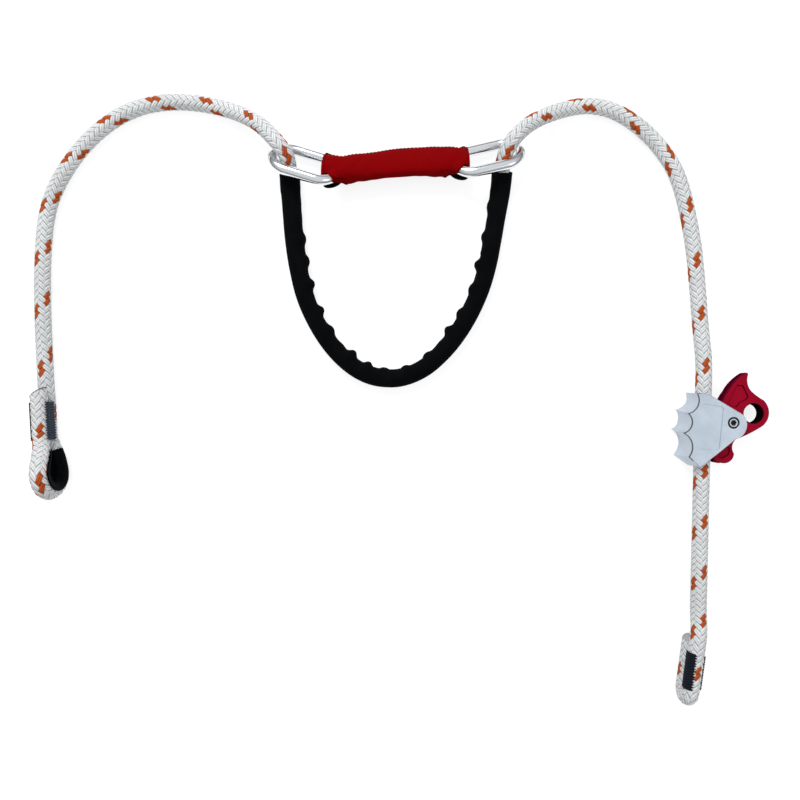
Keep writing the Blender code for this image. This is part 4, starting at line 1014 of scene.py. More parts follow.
def strand_places(m, k, n):
    """The UV places across and along the strand that lies on top, for the corners of the faces
    round the grid's middle points, and whether that strand is orange."""
    m, k = (m + 1)[..., None], k[..., None]
    strand_a, strand_b = (np.floor(place / (2 * n) + 0.5) for place in (m - k, m + k))
    upper = (strand_a + strand_b) % FLOAT_PERIOD < FLOAT_PERIOD / 2
    corner_m, corner_k = m + (-1, 0, 1, 0), k + (0, -1, 0, 1)
    corner_a, corner_b = (corner_m - corner_k) / (2 * n), (corner_m + corner_k) / (2 * n)
    across = np.where(upper, corner_a - strand_a, corner_b - strand_b)
    along = np.where(upper, corner_b, corner_a + OTHER_WAY)
    orange = upper & np.isin(strand_a % (CARRIERS // 2), TRACERS)
    return np.stack([across, along], axis=-1).reshape(-1, 2), np.repeat(orange.ravel(), 4)


def rope_ends(points, path, ahead, shove, depths):
    """What closes a braid's two ends: the teeth between its last two rows, then a dome of
    narrowing rings. Returns the rings' points, the teeth, the rings' faces and the caps."""
    count, around = len(points), points.shape[1]
    spot = np.arange(around)
    extra, teeth, quads, caps = [], [], [], []
    for last, index, way, depth in ((False, 0, -1, depths[0]), (True, count - 1, 1, depths[1])):
        base = index * around + spot
        between = (index - way) * around + (spot + shove[index, 0]) % around
        onward = np.roll(base, -1)
        teeth.append(np.stack([base, between, onward] if last else [base, onward, between], 1))
        for share, out in DOME:
            ring = path[index] + share * (points[index] - path[index])
            extra.append(ring + way * out * depth * ahead[index])
            inner = (count + len(extra) - 1) * around + spot
            quad = np.stack([base, np.roll(base, -1), np.roll(inner, -1), inner], axis=1)
            quads.append(quad if last else quad[:, ::-1])
            base = inner
        caps.append(base[None, ::way])
    return np.vstack(extra), np.vstack(teeth), np.vstack(quads), caps


def braided_tube(name, line, ends, lay, settings, finish, sealed, slant=0.0, fine=None):
    """The braid round the line between two lengths along it, as a mesh and its path.

    Grid points lie on two families of helices, so that faces follow the strands: row k and
    place m stand at the angle m and the length k, in half steps of a strand, m + k even. Their
    distance from the line is the rope's radius less its relief, plus the strands' height.
    """
    n = fine or settings.fineness
    around = CARRIERS // 2 * n
    length = ends[1] - ends[0]
    number, place, turn = lay_rows(lay, length, CARRIERS * n)
    path = at_length(line, ends[0] + place)
    ahead, up, right = carried_frames(path, np.array((0.0, 0.0, 1.0)))
    k = number[:, None]
    odd = k % 2
    m = odd + 2 * np.arange(around)[None, :]
    relief = settings.crown + settings.rise
    height = strand_height((m - k) / (2 * n), (m + k) / (2 * n), settings.crown, settings.rise)
    angle = math.tau * m / (CARRIERS * n) + turn[:, None]
    radius = settings.diameter / 2 - relief + height
    points = path[:, None] + radius[..., None] * round_about(angle, up[:, None], right[:, None])
    near_tail = np.clip(1 - place / TAIL_SLANT_REACH, 0, 1)[:, None] ** 2
    points += (slant * near_tail * radius * np.sin(angle))[..., None] * ahead[:, None]
    # How far each point lies below the strands' crowns; the finish darkens it there as painted
    # shade.
    sunk = np.clip((relief - height) / (1.6 * relief), 0, 1)
    scorch = np.max([share * np.clip(1 - np.abs(place - end) / SCORCH_REACH, 0, 1)
                     for share, end in zip(sealed, (0, length))], axis=0)

    spot = np.arange(around)[None, :]
    row = np.arange(1, len(number) - 1)[:, None]
    beside = (spot + odd[1:-1]) % around
    quads = np.stack([
        row * around + spot, (row - 1) * around + beside,
        row * around + (spot + 1) % around, (row + 1) * around + beside,
    ], axis=-1).reshape(-1, 4)
    strand, tracer = strand_places(m[1:-1], k[1:-1], n)
    depths = (CUT_DEPTH, CUT_DEPTH if sealed[1] else HIDDEN_DEPTH)
    extra, teeth, rings, caps = rope_ends(points, path, ahead, odd, depths)
    spare = teeth.size + rings.size + sum(cap.size for cap in caps)
    burnt = [np.full(len(extra) // 2, 0.8 * share) for share in sealed]
    made = new_piece(
        name, np.vstack([points.reshape(-1, 3), extra]), [quads, rings, teeth, *caps], finish,
        corners={"strand": np.vstack([strand, np.zeros((spare, 2))])},
        values={
            "tracer": ("CORNER", np.append(tracer, np.zeros(spare))),
            # The domed ends' rings get a middling painted shade.
            "sunk": ("POINT", np.append(sunk, np.full(len(extra), 0.4))),
            "sealed": ("POINT", np.concatenate([np.repeat(scorch, around), *burnt])),
        },
    )
    return made, path


def choker_ends(line):
    """The lengths along the rope's line between which it lies in the wear sleeve."""
    return [nearest_length(line, np.array(p) * MM) for p in (CHOKER_ROUTE[0], CHOKER_ROUTE[-1])]


class LANYARD_OT_rope(bpy.types.Operator):
    """Braids the rope's two legs and its stretch in the wear sleeve"""

    bl_idname = "lanyard.rope"
    bl_label = "Braided rope"

    def execute(self, context):
        settings = context.scene.lanyard_rope
        finish = braid_finish(settings)
        line = rope_line()
        start, end = choker_ends(line)
        whole = lengths_along(line)[-1]
        for name, node, ends, sealed, slant, fine, exit_at, far_end, others in (
            ("left_leg_braid", "rope_left_leg", (0, start - GAP / 2), (1, 0.6),
             TAIL_SLANT, None, -1, "fitting", ["eye_thimble_trough"]),
            ("choker_braid", "rope_in_sleeve", (start + GAP / 2, end - GAP / 2), (1, 1),
             0.0, 4, 0, "object", ()),
            ("right_leg_braid", "rope_right_leg", (end + GAP / 2, whole), (1, 0),
             0.0, None, 0, "knot", ()),
        ):
            made, path = braided_tube(
                name, line, ends, LAYS[node], settings, finish, sealed, slant, fine)
            dress(made, "lanyard", node)
        return {"FINISHED"}


def dress(made, body, node):
    """Puts a new piece in the place of a CAD node, on its body."""
    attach(made, body)
    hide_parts(node)


def stitched_band(name, first, last, section, thickness, tooth, finish):
    """A sewn band on a rope: its section, points and normals to the right and up, runs along
    from first to last, closed round its edges.

    The outer face stands off by the thickness, less towards the edges, plus a ridge for each
    stitch: the cosine of the place along plus a slant across, zigzag from one half to the other.
    """
    points, normals = section
    length = np.linalg.norm(last - first)
    up = np.array((0.0, 0.0, 1.0))
    right = np.cross(up, (last - first) / length)
    along = np.linspace(0, 1, int(length / STITCH_STEP) + 1)[:, None]
    across = 2 * np.linspace(0, 1, len(points)) - 1
    turn = math.tau * (along * length / STITCH_PITCH + STITCH_SLANT * np.abs(across))
    ridge = 0.5 + 0.5 * np.cos(turn)
    fade = np.clip(np.minimum(along, 1 - along) / 0.03, 0, 1) ** 0.5
    out = thickness * (1 - np.abs(across) ** 7) * fade * (0.45 + 0.55 * ridge)
    sway = tooth * np.cos(turn) * across**3
    inner = points + sway[..., None] * np.stack([-normals[:, 1], normals[:, 0]], axis=1)
    flat = np.concatenate([inner + out[..., None] * normals, inner[:, ::-1]], axis=1)
    rows = (first + along[..., None] * (last - first)
            + flat[..., :1] * right + flat[..., 1:] * up)
    # Painted shade for the thread's colour: in the dips between stitches, and all over the band's
    # inner side.
    sunk = 0.8 * np.concatenate([1 - ridge, np.ones_like(ridge)], axis=1)
    return shell(name, rows, finish, ring=False, values={"sunk": ("POINT", sunk)})


class LANYARD_OT_eyes(bpy.types.Operator):
    """Sews the two eyes and lays the thimble in the left one"""

    bl_idname = "lanyard.eyes"
    bl_label = "Sewn eyes and thimble"

    def execute(self, context):
        grey_blue = thread_finish("grey_blue_thread", (0.018, 0.025, 0.038), (0.07, 0.09, 0.125))
        navy = thread_finish("navy_thread", (0.004, 0.005, 0.009), (0.016, 0.02, 0.032))
        upper = STRAND_SPACING / 2
        # A seam up over the valley between the strands and round the upper one's flank.
        place = np.linspace(-3.6 * MM, 9.2 * MM, 31)
        curl = np.clip((place - upper) / VALLEY_REACH, 0, None)
        normals = np.stack([np.cos(curl), np.sin(curl)], axis=1)
        points = VALLEY_REACH * normals
        points[:, 1] += np.minimum(place, upper)
        valley = points, normals
        # A seam round the upper strand's flank alone.
        angles = np.radians(np.linspace(-38, 72, 27))
        normals = np.stack([np.cos(angles), np.sin(angles)], axis=1)
        flank = (0, upper) + (ROPE_DIAMETER / 2 + 0.12 * MM) * normals, normals
        for name, node, first, last, way, section, thickness, tooth, finish in (
            ("eye_stitches_inner", "eye_seam_inner", (-289.8, -115.4), (-288.05, -146.4), 1,
             valley, 0.8, 1.3, grey_blue),
            ("eye_stitches_outer", "eye_seam_outer", (-289.8, -115.4), (-288.05, -146.4), -1,
             valley, 0.8, 1.3, grey_blue),
            ("end_stitches_inner", "end_seam_inner", (242.7, -320.0), (238.85, -347.5), 1,
             valley, 0.7, 0.9, navy),
            ("end_stitches_outer", "end_seam_outer", (242.7, -318.0), (238.85, -347.5), -1,
             flank, 0.75, 0.75, navy),
        ):
            ends = (np.array((x * MM, y * MM, (ROPE_DIAMETER + STRAND_SPACING) / 2))
                    for x, y in (first, last))
            made = stitched_band(name, *ends, [part * (way, 1) for part in section],
                                 thickness * MM, tooth * MM, finish)
            dress(made, "lanyard", node)
        thimble(rubber_finish())
        return {"FINISHED"}


def thimble(finish):
    """The thimble: a trough carried along the eye, facing its middle, thinner at its two ends.

    The section is a half circle that hugs the rope under a rounded back. The back's depth
    grows from a thin lip to its full height over the first and last few millimetres.
    """
    line = rope_line()
    low, high = (nearest_length(line, np.array(point) * MM) for point in THIMBLE_BETWEEN)
    place = np.linspace(low - THIMBLE_PAST, high + THIMBLE_PAST, 110)
    path = at_length(line, place)
    heading = tangents(path)
    near_end = np.minimum(place - place[0], place[-1] - place) / THIMBLE_TAPER
    rise = THIMBLE_BACK * np.sin(math.pi / 2 * np.clip(near_end, 0, 1))
    depth = THIMBLE_HUG + THIMBLE_LIP + rise
    shoulder = [(1.0, 0.1, 0), (0.99, 0.32, 0), (0.8, 0.66, 0), (0.45, 0.92, 0), (0.0, 1.0, 0)]
    shoulder += [(-across, up, 0) for across, up, _ in shoulder[-2::-1]]
    outer = smooth_curve(shoulder, 6)[:, :2]
    outer[:, 0] *= np.where(outer[:, 0] > 0, *THIMBLE_FLANGES)
    edge = math.asin(0.1 * depth.max() / THIMBLE_HUG)
    angles = np.linspace(math.pi - edge, edge, 25)
    across = np.concatenate([outer[:, 0], THIMBLE_HUG * np.cos(angles)])
    deep = np.hstack([depth[:, None] * outer[:, 1],
                      np.tile(THIMBLE_HUG * np.sin(angles), (len(place), 1))])
    middle = (path.min(axis=0) + path.max(axis=0)) / 2
    side = unit(np.array((1.0, 0, 0)) - heading * heading[:, :1])
    inward = towards(middle, path, np.cross(side, heading))
    rows = path[:, None] + across[:, None] * side[:, None] + deep[..., None] * inward[:, None]
    made = shell("eye_thimble_trough", rows, finish,
                 (np.arange(len(across) + 1), np.arange(len(place))), ring=False)
    made.data.set_sharp_from_angle(angle=math.radians(50))
    dress(made, "lanyard", "eye_thimble")


class LANYARD_OT_wear_sleeve(bpy.types.Operator):
    """Draws the black woven tube over the rope and gathers it inside the bend"""

    bl_idname = "lanyard.wear_sleeve"
    bl_label = "Wear sleeve"

    def execute(self, context):
        settings = context.scene.lanyard_cloth
        line = rope_line()
        start, end = choker_ends(line)
        low, high = start - SLEEVE_LAP, end + SLEEVE_LAP
        run = np.linspace(low, high, 641) - low
        path = at_length(line, low + run)
        ahead = tangents(path)
        side = towards(path.mean(axis=0), path, unit(np.cross((0.0, 0.0, 1.0), ahead)))
        up = np.cross(side, ahead)
        up *= np.sign(up[:, 2:])
        angles = math.tau * np.arange(56) / 56
        random = np.random.default_rng(7)
        place = (run - SLEEVE_LAP)[:, None]
        radius = np.full((len(run), len(angles)), SLEEVE_RADIUS)
        for table, way in ((SLEEVE_INSIDE, 1), (SLEEVE_OUTSIDE, -1)):
            form = smooth_curve([(along * MM, wide, 0) for along, wide in table])
            more = np.interp(place, form[:, 0], form[:, 1]) * MM - SLEEVE_RADIUS
            radius += more * np.clip(way * np.cos(angles), 0, 1) ** SLEEVE_SIDES
        # A gather's height falls off like a steep bell along the tube, and towards its outer side.
        gathered = np.clip(np.cos(angles) * 0.8 + 0.2, 0, 1) ** GATHER_SIDES
        for middle, height in GATHERS:
            width = settings.gather_width * random.uniform(0.92, 1.08)
            lean = random.uniform(-1.2, 1.2) * MM
            offset = (place - middle * MM - lean * np.sin(angles)) / width
            lift = settings.gather_fullness * height * MM
            radius += lift * np.exp(-np.abs(offset) ** GATHER_STEEPNESS) * gathered
        ripple = np.sin(place / MM * 0.47) * np.clip(np.cos(angles + 0.5), 0, 1)
        radius = np.maximum(radius + SLEEVE_RIPPLE * ripple, SLEEVE_THINNEST)
        around = round_about(angles, side[:, None], up[:, None])
        outer = path[:, None] + radius[..., None] * around
        outer[..., 2] = np.maximum(outer[..., 2], GAP / 2)
        inner = path[:, None] + SLEEVE_BORE / 2 * around
        # Near-black threads, darker between them as painted shade.
        black = woven_finish("black_woven_sleeve", (0.0008, 0.0012, 0.0015),
                             (0.004, 0.0048, 0.0055), (1400.0, 1400.0), 0.10 * MM)
        girth = SLEEVE_BORE / 2 * math.tau * np.arange(len(angles) + 1) / len(angles)
        made = shell("gathered_wear_sleeve", np.concatenate([outer, inner[::-1]]), black,
                     (girth, np.concatenate([run, run[::-1]])))
        dress(made, "lanyard", "wear_sleeve")
        width = math.pi * (SLEEVE_BORE / 2 + SLEEVE_RADIUS)
        return {"FINISHED"}


class RingFrame:
    """Where one forged ring lies: its middle, its long and wide directions and its normal."""

    def __init__(self, place, turn):
        self.middle = np.array((*place, RING_HEIGHT))
        self.along = np.array((math.cos(turn), math.sin(turn), 0.0))
        level = np.array((-self.along[1], self.along[0], 0.0))
        level = -level if level[1] > 0 else level
        self.across = level * math.cos(RING_TILT) + np.array((0, 0, math.sin(RING_TILT)))
        normal = np.cross(self.along, self.across)
        self.normal = normal if normal[2] > 0 else -normal
        self.radius = (RING_WIDTH - RING_WIRE) / 2
        self.reach = (RING_LENGTH - RING_WIDTH) / 2

    def outward(self, angle):
        """The direction from the bend's middle to the wire, from the end towards the near rim."""
        return round_about(angle, self.along, self.across)

    def bend(self, angle):
        return self.middle + self.reach * self.along + self.radius * self.outward(angle)


def ring_frames():
    return [RingFrame(place, turn) for place, turn in zip(RING_PLACES, RING_TURNS)]


class LANYARD_OT_rings(bpy.types.Operator):
    """Forges the two oval rings: a circle carried round two half circles and two straights"""

    bl_idname = "lanyard.rings"
    bl_label = "Oval rings"

    def execute(self, context):
        steel = metal_finish("polished_ring_steel", (0.86, 0.87, 0.89), (0.78, 0.80, 0.83), 0.13,
                             0.015 * MM)
        angles = math.tau * np.arange(32) / 32
        for side, ring in zip(("left", "right"), ring_frames()):
            run = np.linspace(0, 1, 25)[1:-1, None]
            bend = ring.bend(np.linspace(-math.pi / 2, math.pi / 2, 49)) - ring.middle
            ends = ring.middle + bend, ring.middle - bend
            line = np.vstack([part for one, two in (ends, ends[::-1])
                              for part in (one, one[-1] + run * (two[0] - one[-1]))])
            ahead = unit(np.roll(line, -1, axis=0) - np.roll(line, 1, axis=0))
            out = np.cross(ahead, ring.normal)[:, None]
            rows = line[:, None] + RING_WIRE / 2 * round_about(angles, ring.normal, out)
            made = shell(f"{side}_forged_ring", rows, steel,
                         (np.arange(33) / 32, np.arange(len(line)) / len(line)))
            dress(made, f"{side}_ring", f"ring_{side}")
        return {"FINISHED"}


def bridge_line(rings):
    """The red sleeve's middle line, and the directions across it and out of its flat side."""
    start, end = (ring.bend(0.0)[:2] for ring in rings)
    bow = unit((start[1] - end[1], end[0] - start[0]))
    points = []
    for share, (out, height) in zip(BRIDGE_ALONG_SHARES, BRIDGE_ROUTE):
        points.append((*(start + share * (end - start) + out * MM * bow), height * MM))
    across = np.array((0.0, -math.cos(BRIDGE_TILT), math.sin(BRIDGE_TILT)))
    flat = np.array((0.0, math.sin(BRIDGE_TILT), math.cos(BRIDGE_TILT)))
    return smooth_curve(points), across, flat


def webbing(rings, finish):
    """The webbing loop: two layers, each a blend from one ring's bend to the other's, that
    part to go round each ring's wire in half circles."""
    left, right = rings
    near = RING_WIRE / 2 + GAP
    far = near + WEBBING_THICKNESS
    share = np.linspace(0, 1, 81)
    held = np.abs(np.cos(math.pi * share)) ** WEBBING_CLOSING
    level = GAP / 2 + (near - GAP / 2) * held
    curve, across, flat = bridge_line(rings)
    middle = at_length(curve, lengths_along(curve)[-1] / 2)
    ahead = tangents(curve)[len(curve) // 2]
    edges = np.linspace(-WEBBING_HALF_WIDTH, WEBBING_HALF_WIDTH, 25)

    def held_angles(turn, away=0.0):
        """Where round a ring's bend the webbing's threads lie, at a turn round its wire."""
        spread = turn / math.pi * max(0.0, 1 - (away / WEBBING_SPREAD) ** 2)
        near_edge = WEBBING_WRAP[1] + (WEBBING_WRAP_BELOW - WEBBING_WRAP[1]) * spread
        return np.linspace(WEBBING_WRAP[0], near_edge, len(edges))

    def strand(ring, way, t, angles):
        """Points at the share t from a ring to the middle: a cubic with given ends and leads."""
        beyond = (angles - WEBBING_WRAP[1]) / (WEBBING_WRAP_BELOW - WEBBING_WRAP[1])
        lead = WEBBING_LEAD * (1 + WEBBING_BULGE * np.clip(beyond, 0, 1))[:, None]
        start, lead = ring.bend(angles), lead * ring.outward(angles)
        end, arrive = middle + edges[:, None] * across, WEBBING_LEAD * way * ahead
        return ((2 * t**3 - 3 * t**2 + 1) * start + (t**3 - 2 * t**2 + t) * lead
                + (3 * t**2 - 2 * t**3) * end + (t**3 - t**2) * arrive)

    def run(i, depth):
        """A row of points between the rings, at a depth from the loop's middle."""
        ring, way, t = (left, 1, share[i]) if share[i] <= 0.5 else (right, -1, 1 - share[i])
        own = abs(2 * share[i] - 1) ** WEBBING_CLOSING
        angles = held_angles(0 if depth > 0 else math.pi, t)
        return strand(ring, way, 2 * t, angles) + depth * unit(own * ring.normal
                                                               + (1 - own) * flat)

    def wrap(ring, radius, turn):
        """A row of points round a ring's wire."""
        angles = held_angles(turn)
        return ring.bend(angles) + radius * round_about(turn, ring.normal, -ring.outward(angles))

    def layer(way):
        return [np.vstack([run(i, way * (level[i] + WEBBING_THICKNESS)),
                           run(i, way * level[i])[::-1]]) for i in range(len(share))]

    def fold(ring):
        return [np.vstack([wrap(ring, far, turn), wrap(ring, near, turn)[::-1]])
                for turn in math.pi * np.arange(1, 20) / 20]

    rows = np.stack(layer(1) + fold(right) + layer(-1)[::-1] + fold(left)[::-1])
    centres = rows.mean(axis=1)
    along = lengths_along(centres)
    wide = np.concatenate([edges, edges[::-1], edges[:1]])
    made = shell("bridge_webbing_loop", rows, finish, (wide, along))
    return made, along[-1] + np.linalg.norm(centres[-1] - centres[0])


def red_sleeve(rings, finish):
    """The red sleeve: a flat round section, a squared ellipse, carried along the bridge.

    Its half width, half depth and sag follow the form's rows by a smooth curve, each mouth is
    cut back round its notch's angle, and shallow creases run across it, deepest near the mouths.
    Where it would touch a ring's wire or the webbing on it, it stands off round the wire.
    """
    curve, across, flat = bridge_line(rings)
    whole = lengths_along(curve)[-1]
    share = np.linspace(0, 1, 241)
    angles = math.tau * np.arange(120) / 120
    wide, deep = (np.sign(way) * np.abs(way) ** (2 / BRIDGE_SQUARENESS)
                  for way in (np.cos(angles), np.sin(angles)))
    off = np.abs((angles - BRIDGE_NOTCH_AT + math.pi) % math.tau - math.pi) / BRIDGE_NOTCH_HALF
    notch = BRIDGE_NOTCH_DEPTH * (1 - np.minimum(off, 1) ** 5) + BRIDGE_SLANT * (1 - wide) / 2
    distance = notch + share[:, None] * (whole - 2 * notch)
    place = at_length(curve, distance)
    form = smooth_curve(BRIDGE_FORM)
    half_width, half_depth, sag = (
        np.interp(distance / whole, form[:, 0], form[:, k]) * MM for k in (1, 2, 3))
    place[..., 1] -= sag
    share = share[:, None]
    near_mouth = np.clip(np.abs(2 * share - 1) * 1.3 - 0.25, 0, 1)
    crease = BRIDGE_CREASE * near_mouth * np.sin(46 * share + 2.1 * np.sin(angles * 2 + 0.6))
    crease += BRIDGE_RIPPLE * np.sin(19 * share + 3 * np.cos(angles) + 1.0)
    hem = np.clip(1 - np.minimum(share, 1 - share) / BRIDGE_HEM_SHARE, 0, 1)
    sides = []
    for thinner, proud in ((0, crease + BRIDGE_HEM * hem), (-BRIDGE_WALL, 0)):
        points = (place + ((half_width + thinner + proud) * wide)[..., None] * across
                  + ((half_depth + thinner + proud) * deep)[..., None] * flat)
        points = clear_of_rings(points, rings, BRIDGE_WALL + thinner + GAP)
        points[..., 2] = np.maximum(points[..., 2], GAP / 2 - thinner)
        sides.append(points)
    outer, inner = sides
    belt = outer[len(outer) // 2]
    girth = lengths_along(np.vstack([belt, belt[:1]]))
    run = share.ravel() * whole
    made = shell("bridge_cloth_sleeve", np.concatenate([outer, inner[::-1]]), finish,
                 (girth, np.concatenate([run, run[::-1]])))
    return made, outer, (girth[-1], whole - BRIDGE_MEAN_NOTCH)


def clear_of_rings(points, rings, room):
    """The points moved straight away from any ring's wire they lie too near to."""
    moved = points.reshape(-1, 3).copy()
    for ring in rings:
        bend = np.linspace(-math.pi / 2, math.pi / 2, 61)
        wire = ring.bend(bend)
        run = np.linspace(0, 1, 21)[1:, None] * ring.reach * ring.along
        wire = np.vstack([wire, wire[0] - run, wire[-1] - run])
        reach = moved[:, None] - wire[None]
        apart = np.linalg.norm(reach, axis=2)
        last = np.where(reach @ ring.normal < 0, WEBBING_WRAP_BELOW, WEBBING_WRAP[1])
        place = np.append(bend, np.full(2 * len(run), math.pi))
        wrapped = (place > WEBBING_WRAP[0]) & (place < last)
        radius = RING_WIRE / 2 + room + np.where(wrapped, WEBBING_THICKNESS + GAP, 0)
        nearest = (apart - radius).argmin(axis=1)
        row = np.arange(len(moved))
        apart, radius = apart[row, nearest], radius[row, nearest]
        close = apart < radius
        push = reach[row, nearest] / apart[:, None]
        moved[close] = (wire[nearest] + radius[:, None] * push)[close]
    return moved.reshape(points.shape)


def dashes(line, out, stitch, gap, lift):
    """A line cut into stitches, each arched outwards by a half sine and sunk at its ends."""
    along = lengths_along(line)
    made = []
    for start in np.arange(gap, along[-1] - stitch, stitch + gap):
        t = np.linspace(0, 1, 7)
        place = start + t * stitch
        normal = np.stack([np.interp(place, along, out[:, k]) for k in range(3)], 1)
        arch = lift * (np.sin(math.pi * t) - 0.35)
        made.append(at_length(line, place) + arch[:, None] * normal)
    return made


class LANYARD_OT_bridge(bpy.types.Operator):
    """Joins the rings: the black webbing loop, the red sleeve over it and its stitches"""

    bl_idname = "lanyard.bridge"
    bl_label = "Bridge"

    def execute(self, context):
        settings = context.scene.lanyard_cloth
        rings = ring_frames()
        # Near-black threads, darker between them as painted shade.
        black = woven_finish("black_webbing", (0.001, 0.0013, 0.0018), (0.005, 0.006, 0.007),
                             (900.0, 1300.0), 0.14 * MM)
        made, loop = webbing(rings, black)
        dress(made, "lanyard", "bridge_webbing")
        # The red cloth, lit on its threads' arches and darker between them, as painted light and
        # shade.
        red = woven_finish("red_woven_cloth", settings.dark_red, settings.red,
                           (1250.0, 1250.0), 0.10 * MM, wear=darker(settings.red, 0.8))
        cloth, surface, flat = red_sleeve(rings, red)
        dress(cloth, "lanyard", "bridge_sleeve")
        thread = thread_finish("dark_red_thread", (0.012, 0.0, 0.001), (0.05, 0.001, 0.003))
        inside, lines = surface.mean(axis=1), []
        for column in SEAM_COLUMNS:
            seam = surface[SEAM_ROWS, column]
            lines += dashes(seam, unit(seam - inside[SEAM_ROWS]), 2.0 * MM, 1.1 * MM, 0.3 * MM)
        for row in HEM_ROWS:
            hem = np.vstack([surface[row], surface[row][:1]])
            lines += dashes(hem, unit(hem - hem.mean(axis=0)), 1.8 * MM, 0.8 * MM, 0.25 * MM)
        stitches = swept_threads("bridge_seam_stitches", lines, 0.28 * MM, thread, sides=6)
        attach(stitches, "lanyard")
        return {"FINISHED"}


class LANYARD_OT_grab(bpy.types.Operator):
    """Machines the rope grab's body and cam and finishes its pivot"""

    bl_idname = "lanyard.grab"
    bl_label = "Rope grab"

    def execute(self, context):
        settings = context.scene.lanyard_grab
        silver = body_finish(settings)
        crimson = cam_finish(settings)
        steel = metal_finish("pivot_steel", (0.40, 0.42, 0.45), (0.24, 0.25, 0.27), 0.24)
        bronze = metal_finish("bush_bronze", (0.55, 0.36, 0.15), (0.45, 0.28, 0.11), 0.35)
        spring = metal_finish("spring_steel", (0.45, 0.46, 0.48), (0.35, 0.36, 0.38), 0.3)
        dress(grab_body(settings, silver), "grab", "adjuster_body")
        dress(grab_cam(settings, crimson), "cam", "adjuster_cam")
        dress(pivot_bolt(bolt_finish()), "grab", "pivot_bolt")
        for node, finish in (
            ("pivot_bush", bronze), ("thrust_washer_front", steel), ("thrust_washer_rear", steel),
            ("pivot_nut", steel), ("cam_spring", spring),
        ):
            slots = frame["nodes"][node].material_slots
            if not slots:
                raise ValueError(f"{node} has no material slot")
            for slot in slots:
                slot.material = finish
        return {"FINISHED"}


def grab_body(settings, finish):
    """The body: a rounded plate with finger scallops, hollowed for the rope and the cam."""
    outline = outline_from(BODY_OUTLINE, BODY_SIZE, 24)
    body = plate("grab_body", outline, rounded_levels(0, BODY_DEPTH, settings.body_edge), finish)
    first, last = (np.array(p) * MM for p in (GRAB_ROUTE[0], GRAB_ROUTE[-1]))
    ahead = unit(last - first)
    side = unit(np.cross((0.0, 0.0, 1.0), ahead))
    middle = np.array((*first[:2], BODY_DEPTH / 2))
    half = BODY_DEPTH / 2 - BODY_CHEEK
    angles = np.linspace(math.pi / 2, 3 * math.pi / 2, 33)
    profile = [(CHANNEL_RADIUS * math.cos(a), half * math.sin(a)) for a in angles]
    profile += [(BODY_SIZE[0], -half), (BODY_SIZE[0], half)]
    rows = [[middle + along * ahead + a * side + (0, 0, b) for a, b in profile]
            for along in (-BODY_SIZE[1], 2 * BODY_SIZE[1])]
    nut = NUT_FLATS / math.sqrt(3) + GAP
    carve(body, [
        shell("channel_cutter", rows, finish, ring=False),
        turned("bore_cutter", [(BORE, -BEYOND), (BORE, BODY_DEPTH + BEYOND)], finish),
        turned("head_cutter", [(SEAT, BODY_DEPTH - SEAT_DEPTH), (SEAT, BODY_DEPTH - SEAT_BEVEL),
                               (SEAT + SEAT_BEVEL, BODY_DEPTH),
                               (SEAT + 1.1 * MM, BODY_DEPTH + 0.75 * MM)], finish),
        turned("nut_cutter", [(nut, -BEYOND), (nut, NUT_DEPTH)], finish, steps=6),
        plate("panel_cutter", rounded_outline(PANEL_CORNERS, BODY_SIZE, 2.0 * MM), [
            (BODY_DEPTH - PANEL_DEPTH, 0.1 * MM), (BODY_DEPTH, -0.05 * MM),
            (BODY_DEPTH + BEYOND, -0.3 * MM)], finish),
    ])
    lean_scallops(body)
    return crisp(body, 32)


def lean_scallops(body):
    """Leans the finger scallops: each point steps aside by the table's step for its place
    along Y, times how far it lies below the front cheek and how far out past the channel."""
    points = np.empty(3 * len(body.data.vertices))
    body.data.vertices.foreach_get("co", points)
    points = points.reshape(-1, 3)
    along, *steps = np.transpose(SCALLOP_STEPS) * MM
    beyond = np.clip((SCALLOPS_FROM - points[:, 0]) / SCALLOPS_FADE, 0, 1)
    share = beyond * (1 - points[:, 2] / BODY_DEPTH)
    moves = np.stack([np.interp(points[:, 1], along, step) for step in steps], axis=1)
    points[:, :2] += share[:, None] * moves
    body.data.vertices.foreach_set("co", points.ravel())
    body.data.update()


def grab_cam(settings, finish):
    """The cam: a rounded plate with a horn, a toe, a connector hole and sunk pockets."""
    low, high = (BODY_DEPTH - CAM_THICKNESS) / 2, (BODY_DEPTH + CAM_THICKNESS) / 2
    cam = plate("grab_cam", outline_from(CAM_OUTLINE, CAM_SIZE, 20),
                rounded_levels(low, high, settings.cam_edge, 5), finish)
    rim = CONNECTOR_HOLE[0] / 2
    wide = rim + HOLE_ROUND
    hole = [(rim + cut, height) for height, cut in rounded_levels(low, high, HOLE_ROUND)]
    inner, outer = SPRING_GROOVE
    groove = [(inner, low - BEYOND), (outer, low - BEYOND), (outer, low + GROOVE_DEPTH),
              (inner, low + GROOVE_DEPTH)]
    cutters = [
        turned("hole_cutter", [(wide, low - 1 * MM), *hole, (wide, high + 1 * MM)], finish,
               connector_place(), steps=72),
        turned("pin_cutter", [(CAM_BORE, low - BEYOND), (CAM_BORE, high + BEYOND)], finish),
        turned("groove_cutter", groove, finish, ring=True),
    ]
    for name, shares in (("horn", HORN_POCKET), ("toe", TOE_POCKET)):
        shape = rounded_outline(shares, CAM_SIZE, 1.0 * MM)
        for side, face, inwards in (("front", high, -1), ("rear", low, 1)):
            levels = [(face + inwards * deep, cut * MM) for deep, cut in (
                (-1 * MM, -0.3), (0, 0.0), (POCKET_DEPTH * 0.8, 0.4), (POCKET_DEPTH, 0.9))]
            cutters.append(plate(f"{name}_{side}_cutter", shape, levels[::inwards], finish))
    carve(cam, cutters)
    return crisp(cam, 28)


